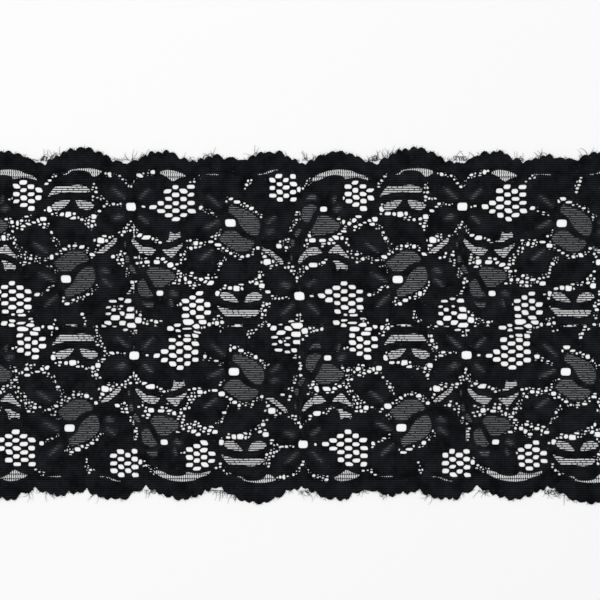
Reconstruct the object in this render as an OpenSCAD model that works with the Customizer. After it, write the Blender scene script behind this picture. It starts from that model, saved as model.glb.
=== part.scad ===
// Scalloped floral lace trim: a flat band of black warp-knitted lace, finished on both long edges.
// X runs along the band, Y across it, Z through its thickness. The origin is the middle of its underside.
// Two rows of one motif group fill the width. Each next group is the last one moved half a repeat
// along the band and turned over about the middle of its row, so the two edges match.

/* [Band] */
// Length of one full pattern repeat along the band
repeat_length = 132.8; // [120:0.2:150]
// Width of one row of motifs, half of the patterned width
row_width = 59.5; // [58.5:0.1:62]
// Sideways lean of the pattern across the band, in mm for each mm of width
lean = -0.027; // [-0.05:0.001:0.05]

/* [Thickness] */
// Thickness of the knitted ground
ground_t = 0.35; // [0.2:0.05:0.6]
// Extra thickness of closely worked cloth petals, leaves and edging
cloth_t = 0.45; // [0.3:0.05:0.8]
// Extra thickness of half-worked, see-through petals
shade_t = 0.3; // [0.2:0.05:0.5]
// Extra thickness of open ladder panels
ladder_t = 0.2; // [0.1:0.05:0.4]

/* [Edge loops] */
// Diameter of one loop of the fine looped edge
picot_d = 2.4; // [1.6:0.1:3]
// Distance between loops along the edge
picot_pitch = 4.6; // [3.5:0.1:8]

/* [Hidden] */
DENSE = 0;
SHADE = 1;
LADDER = 2;
thickness = [cloth_t, shade_t, ladder_t];
half_step = repeat_length / 2;
band_half = repeat_length;
first_flower = -66.3;
row_axis = row_width / 2;
edge_step = 0.8;
// A shape that a cut end leaves with less than this share of its width is left out
least_share = 0.6;
middle_v = row_axis - 0.15;
smooth_steps = 2;

// Outlines are in mm, from the middle of the four-petal flower's place along the band (u)
// and from the middle line of its row (v).

FLOWER = [
    [DENSE, [[-1.2, 20], [-0.9, 24.8], [-2.6, 27.8], [-4.8, 29.4], [-8, 29.8], [-11.5, 29.2], [-13.8, 27.8],
             [-13.1, 24.6], [-11.6, 22.4], [-9, 19.7], [-5, 19.4], [-2.6, 19.9]]],
    [DENSE, [[1.9, 19.6], [5, 18.7], [8.3, 19.1], [10.5, 20.7], [12.8, 22.2], [13.2, 24.2], [15.2, 26],
             [14.8, 27.5], [12.6, 29.2], [9.5, 30.2], [6, 30], [3.3, 28.8], [1.3, 26.7], [0.2, 24.6], [0.3, 21.3]]],
    [DENSE, [[-2.4, 16.6], [-1.2, 15.4], [-1.1, 12.2], [-2.8, 9.9], [-5.2, 7.7], [-8.5, 7.1], [-12, 7.3],
             [-13.9, 9.3], [-14, 12.4], [-12.9, 15.2], [-9.6, 17.7], [-5, 18.1]]],
    [DENSE, [[2.3, 16.6], [6, 17.1], [9, 16.4], [10.9, 14.9], [13.1, 13.2], [14.1, 10.5], [13.9, 7],
             [12.8, 4.6], [11.5, 4.8], [8.5, 6.2], [5, 7.2], [2.8, 8.2], [1.1, 10.4], [0.6, 13], [1.2, 15.4]]]
];

ROSE = [
    [DENSE, [[36.3, 12.6], [34, 13.7], [31, 14.8], [28.3, 15.9], [25.8, 15.5], [23.3, 13.6], [21.2, 11.5],
             [20.8, 8.5], [21.5, 6.2], [24, 5.4], [27, 4.6], [30, 5.1], [33, 6.7], [35.5, 8.7], [36.6, 10.5]]],
    [DENSE, [[28.8, 18.2], [31.5, 16.7], [34.3, 15.4], [36.8, 14.4], [37.4, 17], [37.1, 20.5], [36.5, 24.5],
             [36, 28], [34.2, 29.3], [31, 29.6], [28.4, 28.6], [26.2, 26.6], [26.1, 23.5], [26.9, 20.5]]],
    [DENSE, [[38.2, 22], [41, 22], [43.4, 20.8], [44.8, 19.4], [45.2, 21.5], [44.8, 24.3], [45, 27],
             [46.4, 29.3], [44, 30.4], [40, 30.4], [37.2, 29.4], [37, 26.5], [37.6, 23.8]]],
    [DENSE, [[46, 19.6], [47.8, 18.8], [49.9, 17.4], [51.3, 15.8], [52.4, 14.4], [53.6, 15.9], [54.4, 17.9],
             [55.7, 20.6], [56.1, 23], [55.3, 26.5], [55.4, 29.2], [52.5, 29.6], [49.7, 28.5], [47.6, 26.4],
             [46.3, 24.2]]],
    [SHADE, [[38.4, 15.2], [40, 14.2], [41.9, 12.4], [42.8, 10.4], [44.4, 8.2], [46.6, 6.4], [49.6, 5.3],
             [51.4, 7], [52, 10], [51.5, 12.6], [50.1, 14.4], [48, 16], [45.6, 17.2], [43, 18.1], [40.2, 19.2],
             [38.7, 18]]],
    [SHADE, [[34.2, 4.8], [35.8, 7], [37.6, 8.6], [40.5, 8.9], [42.6, 8], [44.4, 6.2], [46.8, 5.2], [49.4, 4.2],
             [49.2, 2.2], [47.4, 0.2], [45, -0.8], [42.2, -0.9], [39.7, 0.3], [37.6, 1.7], [35.8, 3]]],
    [DENSE, [[52.8, 13.2], [54.6, 15], [56.8, 17.4], [59, 19.2], [61, 19.4], [63, 17.6], [64.9, 15.4],
             [64.8, 12.6], [63.3, 9.8], [62.6, 7], [61.2, 5.3], [58.5, 4.4], [55.5, 3.6], [52.6, 2.9], [51, 3.8],
             [52, 6.6], [52.6, 10]]],
    [DENSE, [[24.6, 0.4], [27, 1.4], [29.5, 2.4], [32, 2.6], [33.6, 0.9], [35.6, 0], [36, -1.6], [35.2, -3.2],
             [34, -5], [33.2, -7.2], [31.5, -8.8], [28.5, -9], [25, -8.2], [22, -7.2], [21.2, -5], [22, -2.3],
             [23.4, -0.4]]],
    [DENSE, [[37.8, -1.8], [39.4, -2], [40.4, -3.6], [42.4, -3.6], [44.6, -3.2], [46.6, -3], [48.6, -1.8],
             [50.4, -0.4], [51.8, -1.4], [52, -4], [51.8, -6.5], [50, -8.4], [48, -10.4], [45.6, -12],
             [43.2, -12.4], [40.8, -12.9], [37.8, -12.9], [35, -12.2], [34, -10], [35, -7.6], [36.8, -5.2],
             [37.6, -3.4]]]
];

BELL = [
    [SHADE, [[74.3, 14.4], [76.6, 14.9], [79, 14.6], [81.3, 12.9], [83.9, 11], [83.4, 8.8], [81.4, 7.1],
             [78, 6.2], [75, 5.6], [72.8, 6.2], [71.2, 8.4], [72.4, 10.6], [73.5, 12.6]]],
    [SHADE, [[67.6, 14.8], [68.2, 17.4], [70, 18.8], [72.4, 19.1], [74.6, 18.6], [74.7, 16.8], [73.3, 15],
             [72.4, 12.8], [70.8, 10.5], [68.8, 11.4], [67.6, 12.8]]],
    [SHADE, [[69, 19.6], [71.6, 19.9], [74.8, 19.8], [74.9, 21.6], [74, 23.2], [71.6, 23.1], [70, 21.8]]],
    [DENSE, [[75.8, 19.2], [75.6, 22], [74.6, 23.8], [71.4, 24], [69.6, 23.2], [68, 22.2], [67.3, 20.6],
             [66.8, 22], [68.8, 23.6], [70.2, 25.4], [72, 26.9], [75, 27], [78, 27.8], [79.4, 26], [79.3, 22.5],
             [78.2, 19.3]]],
    [DENSE, [[79.1, 19], [81.5, 20.6], [83.8, 21.8], [85, 23.5], [85.2, 26.5], [84.3, 28.5], [82, 29.4],
             [79.8, 28.6], [80.2, 26], [80.1, 22.5]]],
    [DENSE, [[79.4, 16.6], [79.6, 18], [82, 19.8], [84.4, 19.8], [87.2, 19.4], [89, 17.6], [91.4, 15.8],
             [90.2, 15], [88, 14], [85.8, 12.9], [83.8, 13.6], [81.8, 14.2]]]
];

SHELL = [
    [DENSE, [[-33, 25.6], [-31, 27.2], [-27.4, 27.4], [-24.5, 27.2], [-21, 27.9], [-18, 27.4], [-16, 26.4],
             [-15.6, 27.8], [-16.4, 29.4], [-17.6, 30.7], [-20, 31.4], [-23.1, 31.1], [-24.4, 29.7], [-27, 29.5],
             [-29.8, 29.3], [-32, 27.6]]],
    [LADDER, [[-34, 21], [-33.4, 22.8], [-32.2, 24.4], [-30.6, 26.2], [-28.5, 26.8], [-25, 26.7], [-21, 27.2],
              [-17.4, 26.4], [-15.8, 24.8], [-15.9, 23.2], [-20, 22.8], [-24.5, 23.1], [-28.2, 22.6],
              [-31, 21.9]]],
    [DENSE, [[-32.6, 20.3], [-30.6, 21.5], [-27.4, 22.2], [-24, 22.6], [-19, 22.3], [-15.4, 22.6],
             [-15.6, 21.3], [-18, 21.3], [-22.4, 21.3], [-24, 21.4], [-27, 21.2], [-29.6, 20.9], [-31, 20]]],
    [LADDER, [[-32.4, 18.2], [-30.4, 20.2], [-27, 20.9], [-24.2, 21], [-23.6, 20.2], [-25.4, 18], [-27, 16.4],
              [-29.6, 15.9], [-31.4, 15.9], [-31.8, 16.8]]],
    [LADDER, [[-22.7, 20.9], [-18.8, 20.8], [-16, 20.2], [-14.2, 18.6], [-14.6, 17.2], [-16.4, 16],
              [-18.8, 16], [-21, 16.8], [-22.2, 18.6]]],
    [DENSE, [[-23.1, 19.6], [-22.6, 18], [-21.4, 16.5], [-19, 15.6], [-17.2, 15.3], [-16.4, 14.2],
             [-18.2, 13.4], [-20.4, 14], [-21.8, 15.3], [-23.6, 17.4], [-24.8, 17.6]]]
];

SPRAY = [
    [LADDER, [[-15.2, -1.3], [-13, -1.8], [-10.5, -0.8], [-8.6, 0.8], [-6.6, 2.4], [-5.5, 4], [-5.5, 5.4],
              [-7, 5.9], [-8.6, 4.6], [-10.4, 3.2], [-12.4, 1.8], [-14, 0.4]]],
    [LADDER, [[-0.9, 4.2], [0.2, 1.8], [2, -0.2], [4.2, -1.8], [7.8, -2.1], [9.2, -0.8], [10.2, 0.6],
              [8.4, 1.8], [5, 2.3], [3.4, 3.2], [1.6, 4.8], [0, 5.6]]],
    [LADDER, [[11.3, 0.9], [12, -0.6], [13.4, -1.9], [15.2, -3.1], [16.8, -2.8], [18, -1.2], [19.2, 0.2],
              [20.6, 1.8], [21, 3.6], [19.6, 3.6], [18.2, 2.8], [16.2, 1.9], [13.5, 1.5]]],
    [LADDER, [[12.8, 3], [15.5, 2.9], [17.6, 4.2], [20, 5.2], [20.2, 7], [19.4, 8.4], [17.2, 7.6],
              [15.4, 8.5], [14.4, 7.5], [14.3, 5.6], [13.3, 4.4]]],
    [SHADE, [[-3.2, 4.6], [-2, 4.2], [-1.9, 1.8], [-2.6, 0.2], [-3.6, 1.4], [-3.8, 3.2]]],
    [SHADE, [[-2.2, -0.8], [-1.2, -1.6], [-0.7, -3.6], [-1.4, -5.2], [-2.9, -5.2], [-3.5, -3.4],
             [-3.1, -1.6]]],
    [SHADE, [[-0.6, -4.9], [0.6, -5.8], [1.6, -7.6], [1.8, -9.3], [0, -9.4], [-1.4, -8], [-2.2, -6.6],
             [-1.6, -5.6]]],
    [DENSE, [[-4.4, 5], [-3.6, 5.6], [-2.6, 5.4], [-1.6, 4.6], [-1.3, 2.2], [-1.4, 0], [-0.4, -2.4],
             [-0.1, -4], [-0.8, -4.4], [-0.4, -2.9], [-1.2, -0.9], [-2, -0.3], [-1.6, 1.6], [-1.5, 4],
             [-2.4, 4.9], [-3.6, 4.9]]],
    [DENSE, [[2, 5.5], [3.8, 3.8], [5.6, 2.9], [8.6, 2.5], [10.4, 1.8], [10.9, 0], [11.4, 1.4], [12.6, 2.4],
             [11.4, 2.6], [9.4, 3.4], [6.8, 3.6], [4.4, 4.9]]]
];

// One repeat of the scalloped edge, scallop by scallop, from the valley at its start
EDGE = [
    [[-34.3, 34.2], [-33.2, 36], [-31.5, 36.8], [-29.5, 37.7], [-27.5, 38.8], [-25.5, 40.3], [-23.6, 41],
     [-21.4, 40.5], [-20, 41.4], [-18, 41.7], [-15.6, 41.2], [-13.8, 39.9], [-11.8, 39.6], [-10, 38.9],
     [-8.9, 37.9], [-7.7, 37.2], [-6.9, 36.1], [-5, 36], [-3, 35.9], [-1.6, 35.3]],
    [[-0.6, 34.1], [0.6, 35.5], [2, 36.7], [5, 37.1], [6.3, 38.3], [7.6, 39.6], [9.4, 39.8], [11, 39.5],
     [12, 39], [13.2, 40], [15.4, 40.2], [17.2, 39.6], [18.6, 38.2], [20, 37.1], [22.4, 37], [24.2, 36.3]],
    [[25.2, 34.8], [26.3, 36.1], [27.8, 36.9], [30.6, 37.1], [32.5, 38.1], [34.5, 38.6], [36.5, 38.4],
     [37.5, 37.2], [38.6, 36.9], [40.6, 37.5], [42.8, 37.3], [44.2, 36.4]],
    [[45.2, 35.2], [46.2, 36.5], [47.4, 37.6], [49.4, 38.1], [51.4, 38.9], [53, 39.6], [55, 39.7],
     [57, 39], [58.2, 39.8], [60.4, 40], [62, 39.1], [63.4, 37.3], [65, 37], [66.8, 36.4], [68.2, 35.3]],
    [[69.1, 34], [70.2, 35.1], [71.8, 36.1], [74, 36.9], [75.6, 38], [78, 38.9], [80, 38.9], [81.4, 39.9],
     [83.6, 40.1], [86, 39.5], [87.4, 38.8], [90, 38.7], [91.4, 37.7], [92.8, 36.5], [95, 36.2], [97, 35.1]]
];

// The inner side of the edging over the same length, where it arches over the ladders and petals
INNER = [
    [-34.3, 27.9], [-33.2, 28.3], [-31.8, 29.5], [-30.4, 31.1], [-28, 31.7], [-25.9, 32.3], [-24.9, 33.4],
    [-21.5, 33.9], [-18, 34.3], [-14.8, 34], [-10.9, 33], [-10.3, 31.9], [-8.2, 31.6], [-6, 31.1],
    [-4.2, 30.7], [-2.4, 29.4], [-0.8, 27.4], [-0.2, 26.8], [0.8, 27.8], [2.4, 29.9], [3.8, 31.4],
    [6.2, 31.8], [7.8, 32.9], [9.8, 32.8], [11.4, 32.6], [14, 33.5], [17, 33.3], [20, 32.6], [22.6, 31.2],
    [23.4, 29.6], [24.8, 28.6], [26, 29.4], [28, 30.9], [29.2, 31.6], [32, 31.8], [36, 31.7], [38.4, 31.1],
    [42, 31], [45.6, 31], [47.2, 30.4], [48.6, 30.9], [50.2, 31.8], [53, 32], [55.2, 33], [58, 33.6],
    [60.4, 33.4], [61.4, 32.4], [63.4, 31.4], [65.6, 30.8], [67.4, 29], [68.4, 26.6], [69.2, 26.9],
    [70.8, 28.6], [72.4, 30.2], [74.2, 31.4], [77, 32.5], [80, 33.3], [84, 33.7], [87, 33.4], [89.4, 33],
    [91.2, 32], [93.4, 31.4], [95.2, 30.6], [96.4, 29.2], [97.4, 28.2]
];

// Open ladders between the edging and the outermost petals
EDGE_LADDERS = [
    [[-29.2, 31], [-27, 31.3], [-25.4, 31.9], [-24.6, 32.9], [-21.5, 33.5], [-18, 33.9], [-14.8, 33.6],
     [-11.1, 32.6], [-11, 31.2], [-12.6, 29.9], [-14.8, 28.8], [-15.8, 29.8], [-17.2, 31.3], [-20, 31.8],
     [-23.2, 31.6], [-24.7, 30.2], [-27, 29.9], [-29, 29.9]],
    [[11, 31.3], [12, 32.4], [14.5, 33.1], [17, 32.9], [19.8, 32.2], [22.3, 30.8], [22.9, 29.4],
     [19.6, 28.6], [17.2, 27.2], [15.8, 27.9], [13.4, 29.7], [11.4, 30.6]],
    [[29.3, 31.2], [32, 31.4], [35.9, 31.3], [36.2, 30], [34.6, 29.8], [31, 30], [29.4, 30.2]],
    [[50.3, 30.4], [50.6, 31.4], [53.2, 31.6], [55.4, 32.6], [58, 33.2], [60, 33], [60.2, 31.8], [58, 31.7],
     [56.4, 30.9], [53.6, 30.2], [51.4, 29.9]],
    [[72.2, 28.6], [73, 30], [74.6, 31], [77, 32.1], [80, 32.9], [84, 33.3], [87, 33], [89.2, 32.6],
     [91, 31.6], [93.2, 31], [95, 30.2], [95.9, 28.8], [96, 27.5], [94, 28.1], [91, 28.8], [88, 28.6],
     [85.6, 28.2], [84.7, 29.5], [82, 29.9], [79.2, 29.5], [77, 28.4], [74.4, 27.7]]
];

// The open eye at the heart of each flower: u, v, width, height
EYES = [[-0.2, 17.8, 3.9, 3.1], [39.4, 11.3, 4.1, 3], [77, 16.8, 2.8, 2.1]];

// Places of each kind of motif along the band: which half step each one belongs to
FLOWER_STEPS = [-1, 0, 1, 2, 3];
ROSE_STEPS = [-1, 0, 1, 2];
BELL_STEPS = [-2, -1, 0, 1];
SHELL_STEPS = [0, 1, 2, 3];
SPRAY_STEPS = [-1, 0, 1, 2, 3];

function numbered(name, steps) = [for (i = [1:2 * len(steps)]) str(name, "_", i)];

// A closed curve through the points of p, by the Catmull-Rom rule, with n steps from each point to the next
function smooth(p, n = smooth_steps) = [
    for (i = [0:len(p) - 1]) for (j = [0:n - 1])
        let (
            a = p[(i + len(p) - 1) % len(p)],
            b = p[i],
            c = p[(i + 1) % len(p)],
            d = p[(i + 2) % len(p)],
            t = j / n
        )
        (2 * b + (c - a) * t + (2 * a - 5 * b + 4 * c - d) * t * t + (3 * b - a - 3 * c + d) * t * t * t) / 2
];

// Whether half step k is turned over: +1 upright, -1 turned over
function turn(k) = (k + 100) % 2 == 0 ? 1 : -1;
function row_y(row) = row_axis * (1 - 2 * row);

// A motif point on the band: row 0 is the upper row. The side of the motif that meets the other row stops
// just short of the middle line.
function on_band(q, k, row) =
    let (
        inward = turn(k) * (1 - 2 * row) < 0,
        v = inward ? min(q[1], middle_v) : q[1],
        y = row_y(row) + turn(k) * v
    )
    [first_flower + half_step * k + q[0] + lean * y, y];

function placed(p, k, row) = [for (q = smooth(p)) on_band(q, k, row)];
function low_x(p) = min([for (q = p) q[0]]);
function high_x(p) = max([for (q = p) q[0]]);

// Whether enough of an outline lies between the band's cut ends to be drawn
function shows(p) =
    min(high_x(p), band_half) - max(low_x(p), -band_half) > least_share * (high_x(p) - low_x(p));

// An eight-sided eye with long flat sides and cut corners, on the band
function eye(q, k, row) = [
    for (s = [[1, 0.45], [0.6, 1], [-0.6, 1], [-1, 0.45], [-1, -0.45], [-0.6, -1], [0.6, -1], [1, -0.45]])
        on_band([q[0] + s[0] * q[2] / 2, q[1] + s[1] * q[3] / 2], k, row)
];

// The edging's outer and inner lines from end to end of the band, for side = 1 (upper) or -1 (lower)
function edge_run(points, side) = [
    for (k = [-3:4]) if (turn(k) == side) for (q = points)
        [first_flower + half_step * k + q[0] + lean * side * (row_axis + q[1]), side * (row_axis + q[1])]
];

// The stretch of a run between the cut ends, with one point set on each cut
function cut_run(run) =
    let (kept = [for (q = run) if (abs(q[0]) < band_half - 0.6) q])
    concat([[-band_half, kept[0][1]]], kept, [[band_half, kept[len(kept) - 1][1]]]);

edge_points = [for (s = EDGE) each s];

function outer_line(side) = cut_run(edge_run(edge_points, side));
function inner_line(side) = cut_run(edge_run(INNER, side));
function reversed(p) = [for (i = [len(p) - 1:-1:0]) p[i]];
function inset(p, side) = [for (q = p) [q[0], q[1] - side * edge_step]];

// An outline, cut off square where it crosses a cut end of the band
module cut_shape(outline) {
    if (high_x(outline) > band_half || low_x(outline) < -band_half)
        intersection() {
            polygon(outline);
            square([2 * band_half, 4 * row_width], center = true);
        }
    else
        polygon(outline);
}

module motif(shapes, k, row) {
    for (s = shapes) {
        outline = placed(s[1], k, row);
        if (shows(outline))
            translate([0, 0, ground_t])
                linear_extrude(thickness[s[0]])
                    cut_shape(outline);
    }
}

// Number i of a kind of motif: the upper row first, then the lower row
module numbered_motif(shapes, steps, i) {
    motif(shapes, steps[i % len(steps)], floor(i / len(steps)));
}

module ground_net() {
    color([0.16, 0.17, 0.19])
        linear_extrude(ground_t)
            difference() {
                polygon(concat(inset(outer_line(1), 1), reversed(inset(outer_line(-1), -1))));
                for (row = [0, 1]) for (k = [-2:3]) for (q = EYES) {
                    outline = eye(q, k, row);
                    if (max(high_x(outline), -low_x(outline)) < band_half)
                        polygon(outline);
                }
            }
}

module scallop_edging(side) {
    color([0.07, 0.08, 0.09])
        translate([0, 0, ground_t])
            linear_extrude(cloth_t)
                polygon(concat(outer_line(side), reversed(inner_line(side))));
    color([0.3, 0.31, 0.33])
        for (k = [-3:4]) if (turn(k) == side) for (p = EDGE_LADDERS) {
            outline = placed(p, k, side > 0 ? 0 : 1);
            if (shows(outline))
                translate([0, 0, ground_t])
                    linear_extrude(ladder_t)
                        cut_shape(outline);
        }
}

// The fine loops stand on the edge in a row, each a thin ring cut off where the edging begins
module edge_loops(side) {
    line = outer_line(side);
    count = floor(2 * (band_half - picot_pitch) / picot_pitch);
    color([0.1, 0.1, 0.12])
        translate([0, 0, ground_t])
            linear_extrude(shade_t)
                difference() {
                    for (i = [0:count])
                        loop_ring(-band_half + picot_pitch * (i + 1), line, side);
                    polygon(concat(line, reversed(inset(line, 3 * side))));
                }
}

// One ring, with a third of it over the edging, drawn only where it clears the cut end
module loop_ring(x, line, side) {
    if (x + picot_d < band_half)
        translate([x, lookup(x, line) + side * picot_d / 6])
            difference() {
                circle(d = picot_d, $fn = 16);
                circle(d = picot_d - 0.8, $fn = 16);
            }
}

ground_net();
scallop_edging(1);  // upper_scallop_edging
scallop_edging(-1);  // lower_scallop_edging
edge_loops(1);  // upper_edge_loops
edge_loops(-1);  // lower_edge_loops
for (i = [0:2 * len(FLOWER_STEPS) - 1])
    color([0.09, 0.1, 0.11]) numbered_motif(FLOWER, FLOWER_STEPS, i);
for (i = [0:2 * len(ROSE_STEPS) - 1])
    color([0.08, 0.09, 0.11]) numbered_motif(ROSE, ROSE_STEPS, i);
for (i = [0:2 * len(BELL_STEPS) - 1])
    color([0.08, 0.09, 0.1]) numbered_motif(BELL, BELL_STEPS, i);
for (i = [0:2 * len(SHELL_STEPS) - 1])
    color([0.1, 0.1, 0.11]) numbered_motif(SHELL, SHELL_STEPS, i);
for (i = [0:2 * len(SPRAY_STEPS) - 1])
    color([0.1, 0.11, 0.12]) numbered_motif(SPRAY, SPRAY_STEPS, i);
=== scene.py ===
"""Flat length of black floral lace trim, scalloped on both long edges, lying on a pale floor.

The pattern's own sizes are in millimetres, in the band's frame: x along the band, y across it and z up.
Every mesh is written in metres. The cloth is built rib by rib: a grid that lines up with the knitted
ribs holds, at each point, how deep that point lies inside the cloth, and the mesh follows the line
where that depth is zero, so each opening, slot and petal edge is a real edge with its own thickness.
"""

import logging
import math
from dataclasses import dataclass, field
from enum import Enum
from typing import Iterable, Sequence

import bpy
import numpy as np
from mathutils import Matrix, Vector


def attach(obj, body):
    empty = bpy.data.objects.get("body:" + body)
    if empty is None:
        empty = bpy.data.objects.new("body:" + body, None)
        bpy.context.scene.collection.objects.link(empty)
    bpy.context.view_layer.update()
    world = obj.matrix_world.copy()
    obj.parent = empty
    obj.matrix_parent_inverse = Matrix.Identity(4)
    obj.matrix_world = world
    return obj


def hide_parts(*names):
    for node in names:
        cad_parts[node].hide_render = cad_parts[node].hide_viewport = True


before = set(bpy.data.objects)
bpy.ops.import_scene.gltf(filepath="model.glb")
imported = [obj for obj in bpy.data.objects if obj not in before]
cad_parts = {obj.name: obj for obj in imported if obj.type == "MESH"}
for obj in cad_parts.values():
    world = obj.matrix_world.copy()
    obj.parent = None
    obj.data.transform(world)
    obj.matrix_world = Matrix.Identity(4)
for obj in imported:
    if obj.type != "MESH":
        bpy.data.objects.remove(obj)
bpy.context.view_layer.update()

LOG = logging.getLogger("lace_trim")
MM = 0.001
GROUND_LENGTHS = 4
# Half steps along the band whose groups reach the modelled length
HALF_STEPS = range(-3, 5)


class Weave(Enum):
    """How closely a stretch of the lace is worked."""

    CLOTH = "closely worked cloth"
    SHADE = "half-worked, see-through cloth"
    LADDER = "open ladder of single threads"


# ---------------------------------------------------------------------------------------------
# The band and its openings
# ---------------------------------------------------------------------------------------------


@dataclass(frozen=True)
class Band:
    """The repeat of the pattern, in millimetres.

    Two rows of one motif group fill the width. Each next group along a row is the last one moved
    half a repeat and turned over about the middle line of its row.
    """

    repeat: float = 132.8
    row_width: float = 59.5
    lean: float = -0.027
    first_flower: float = -66.3
    rib: float = 0.9
    floor_gap: float = 0.03

    @property
    def half_step(self) -> float:
        """Half of the repeat, the distance between two neighbouring motif groups."""
        return self.repeat / 2

    @property
    def cut_end(self) -> float:
        """Distance from the middle of the band to either cut end."""
        return self.repeat

    def turn(self, k: int) -> int:
        """Give +1 for an upright group and -1 for one that is turned over."""
        return 1 if k % 2 == 0 else -1

    def row_y(self, row: int) -> float:
        """Middle line of row 0, the upper one, or row 1, the lower one."""
        return self.row_width / 2 * (1 - 2 * row)

    def place(self, u: float, v: float, k: int, row: int) -> tuple[float, float]:
        """Put a point of a motif group on the band.

        Args:
            u: Distance along the band from the group's own flower.
            v: Distance across the band from the middle line of the row.
            k: Number of half steps along the band.
            row: 0 for the upper row, 1 for the lower.

        Returns:
            The point's x and y. The whole pattern leans a little, so x also shifts with y.
        """
        y = self.row_y(row) + self.turn(k) * v
        return self.first_flower + self.half_step * k + u + self.lean * y, y

    def sag(self, x: np.ndarray, y: np.ndarray) -> np.ndarray:
        """Height of the band's underside above the floor.

        Three long, low waves are summed and lifted so that the lowest troughs just touch the floor.
        """
        tau = 2 * math.pi
        wave = (
            np.sin(tau * (x / 87 + y / 190 + 0.1)) * np.cos(tau * (y / 96 - 0.15))
            + 0.6 * np.sin(tau * (x / 41 - y / 63))
            + 0.4 * np.cos(tau * (x / 150 + y / 47 + 0.3))
        )
        return self.floor_gap + 0.09 * np.maximum(wave + 1.2, 0)


BAND = Band()


@dataclass(frozen=True)
class Net:
    """A patch of hexagonal net: holes in columns, each next column half a hole further across.

    Attributes:
        outline: Corners of the patch, inside which a hole's middle must lie.
        middle: Middle of one of the holes.
        pitch: Distance between columns along the band, and between holes in a column.
    """

    outline: tuple[tuple[float, float], ...]
    middle: tuple[float, float]
    pitch: tuple[float, float]
    thread: float = 0.42
    hole_height: float = 1.62

    def holes(self) -> np.ndarray:
        """Give the net's holes as rows of u, v, width and height.

        A hole is kept when its middle lies inside the outline: a line from it to one side crosses
        the outline an odd number of times.
        """
        i, j = np.meshgrid(np.arange(-8, 9), np.arange(-8, 9), indexing="ij")
        u = self.middle[0] + i * self.pitch[0]
        v = self.middle[1] + (j + (np.abs(i) % 2) / 2) * self.pitch[1]
        p = np.array(self.outline)
        q = np.roll(p, -1, axis=0)
        above = (p[:, 1] > v[..., None]) != (q[:, 1] > v[..., None])
        run = (q[:, 0] - p[:, 0]) / np.where(q[:, 1] == p[:, 1], 1, q[:, 1] - p[:, 1])
        left = u[..., None] < run * (v[..., None] - p[:, 1]) + p[:, 0]
        kept = (above & left).sum(axis=-1) % 2 == 1
        u, v = u[kept], v[kept]
        width = np.full_like(u, self.pitch[0] - self.thread)
        return np.column_stack([u, v, width, np.full_like(u, self.hole_height)])


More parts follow.
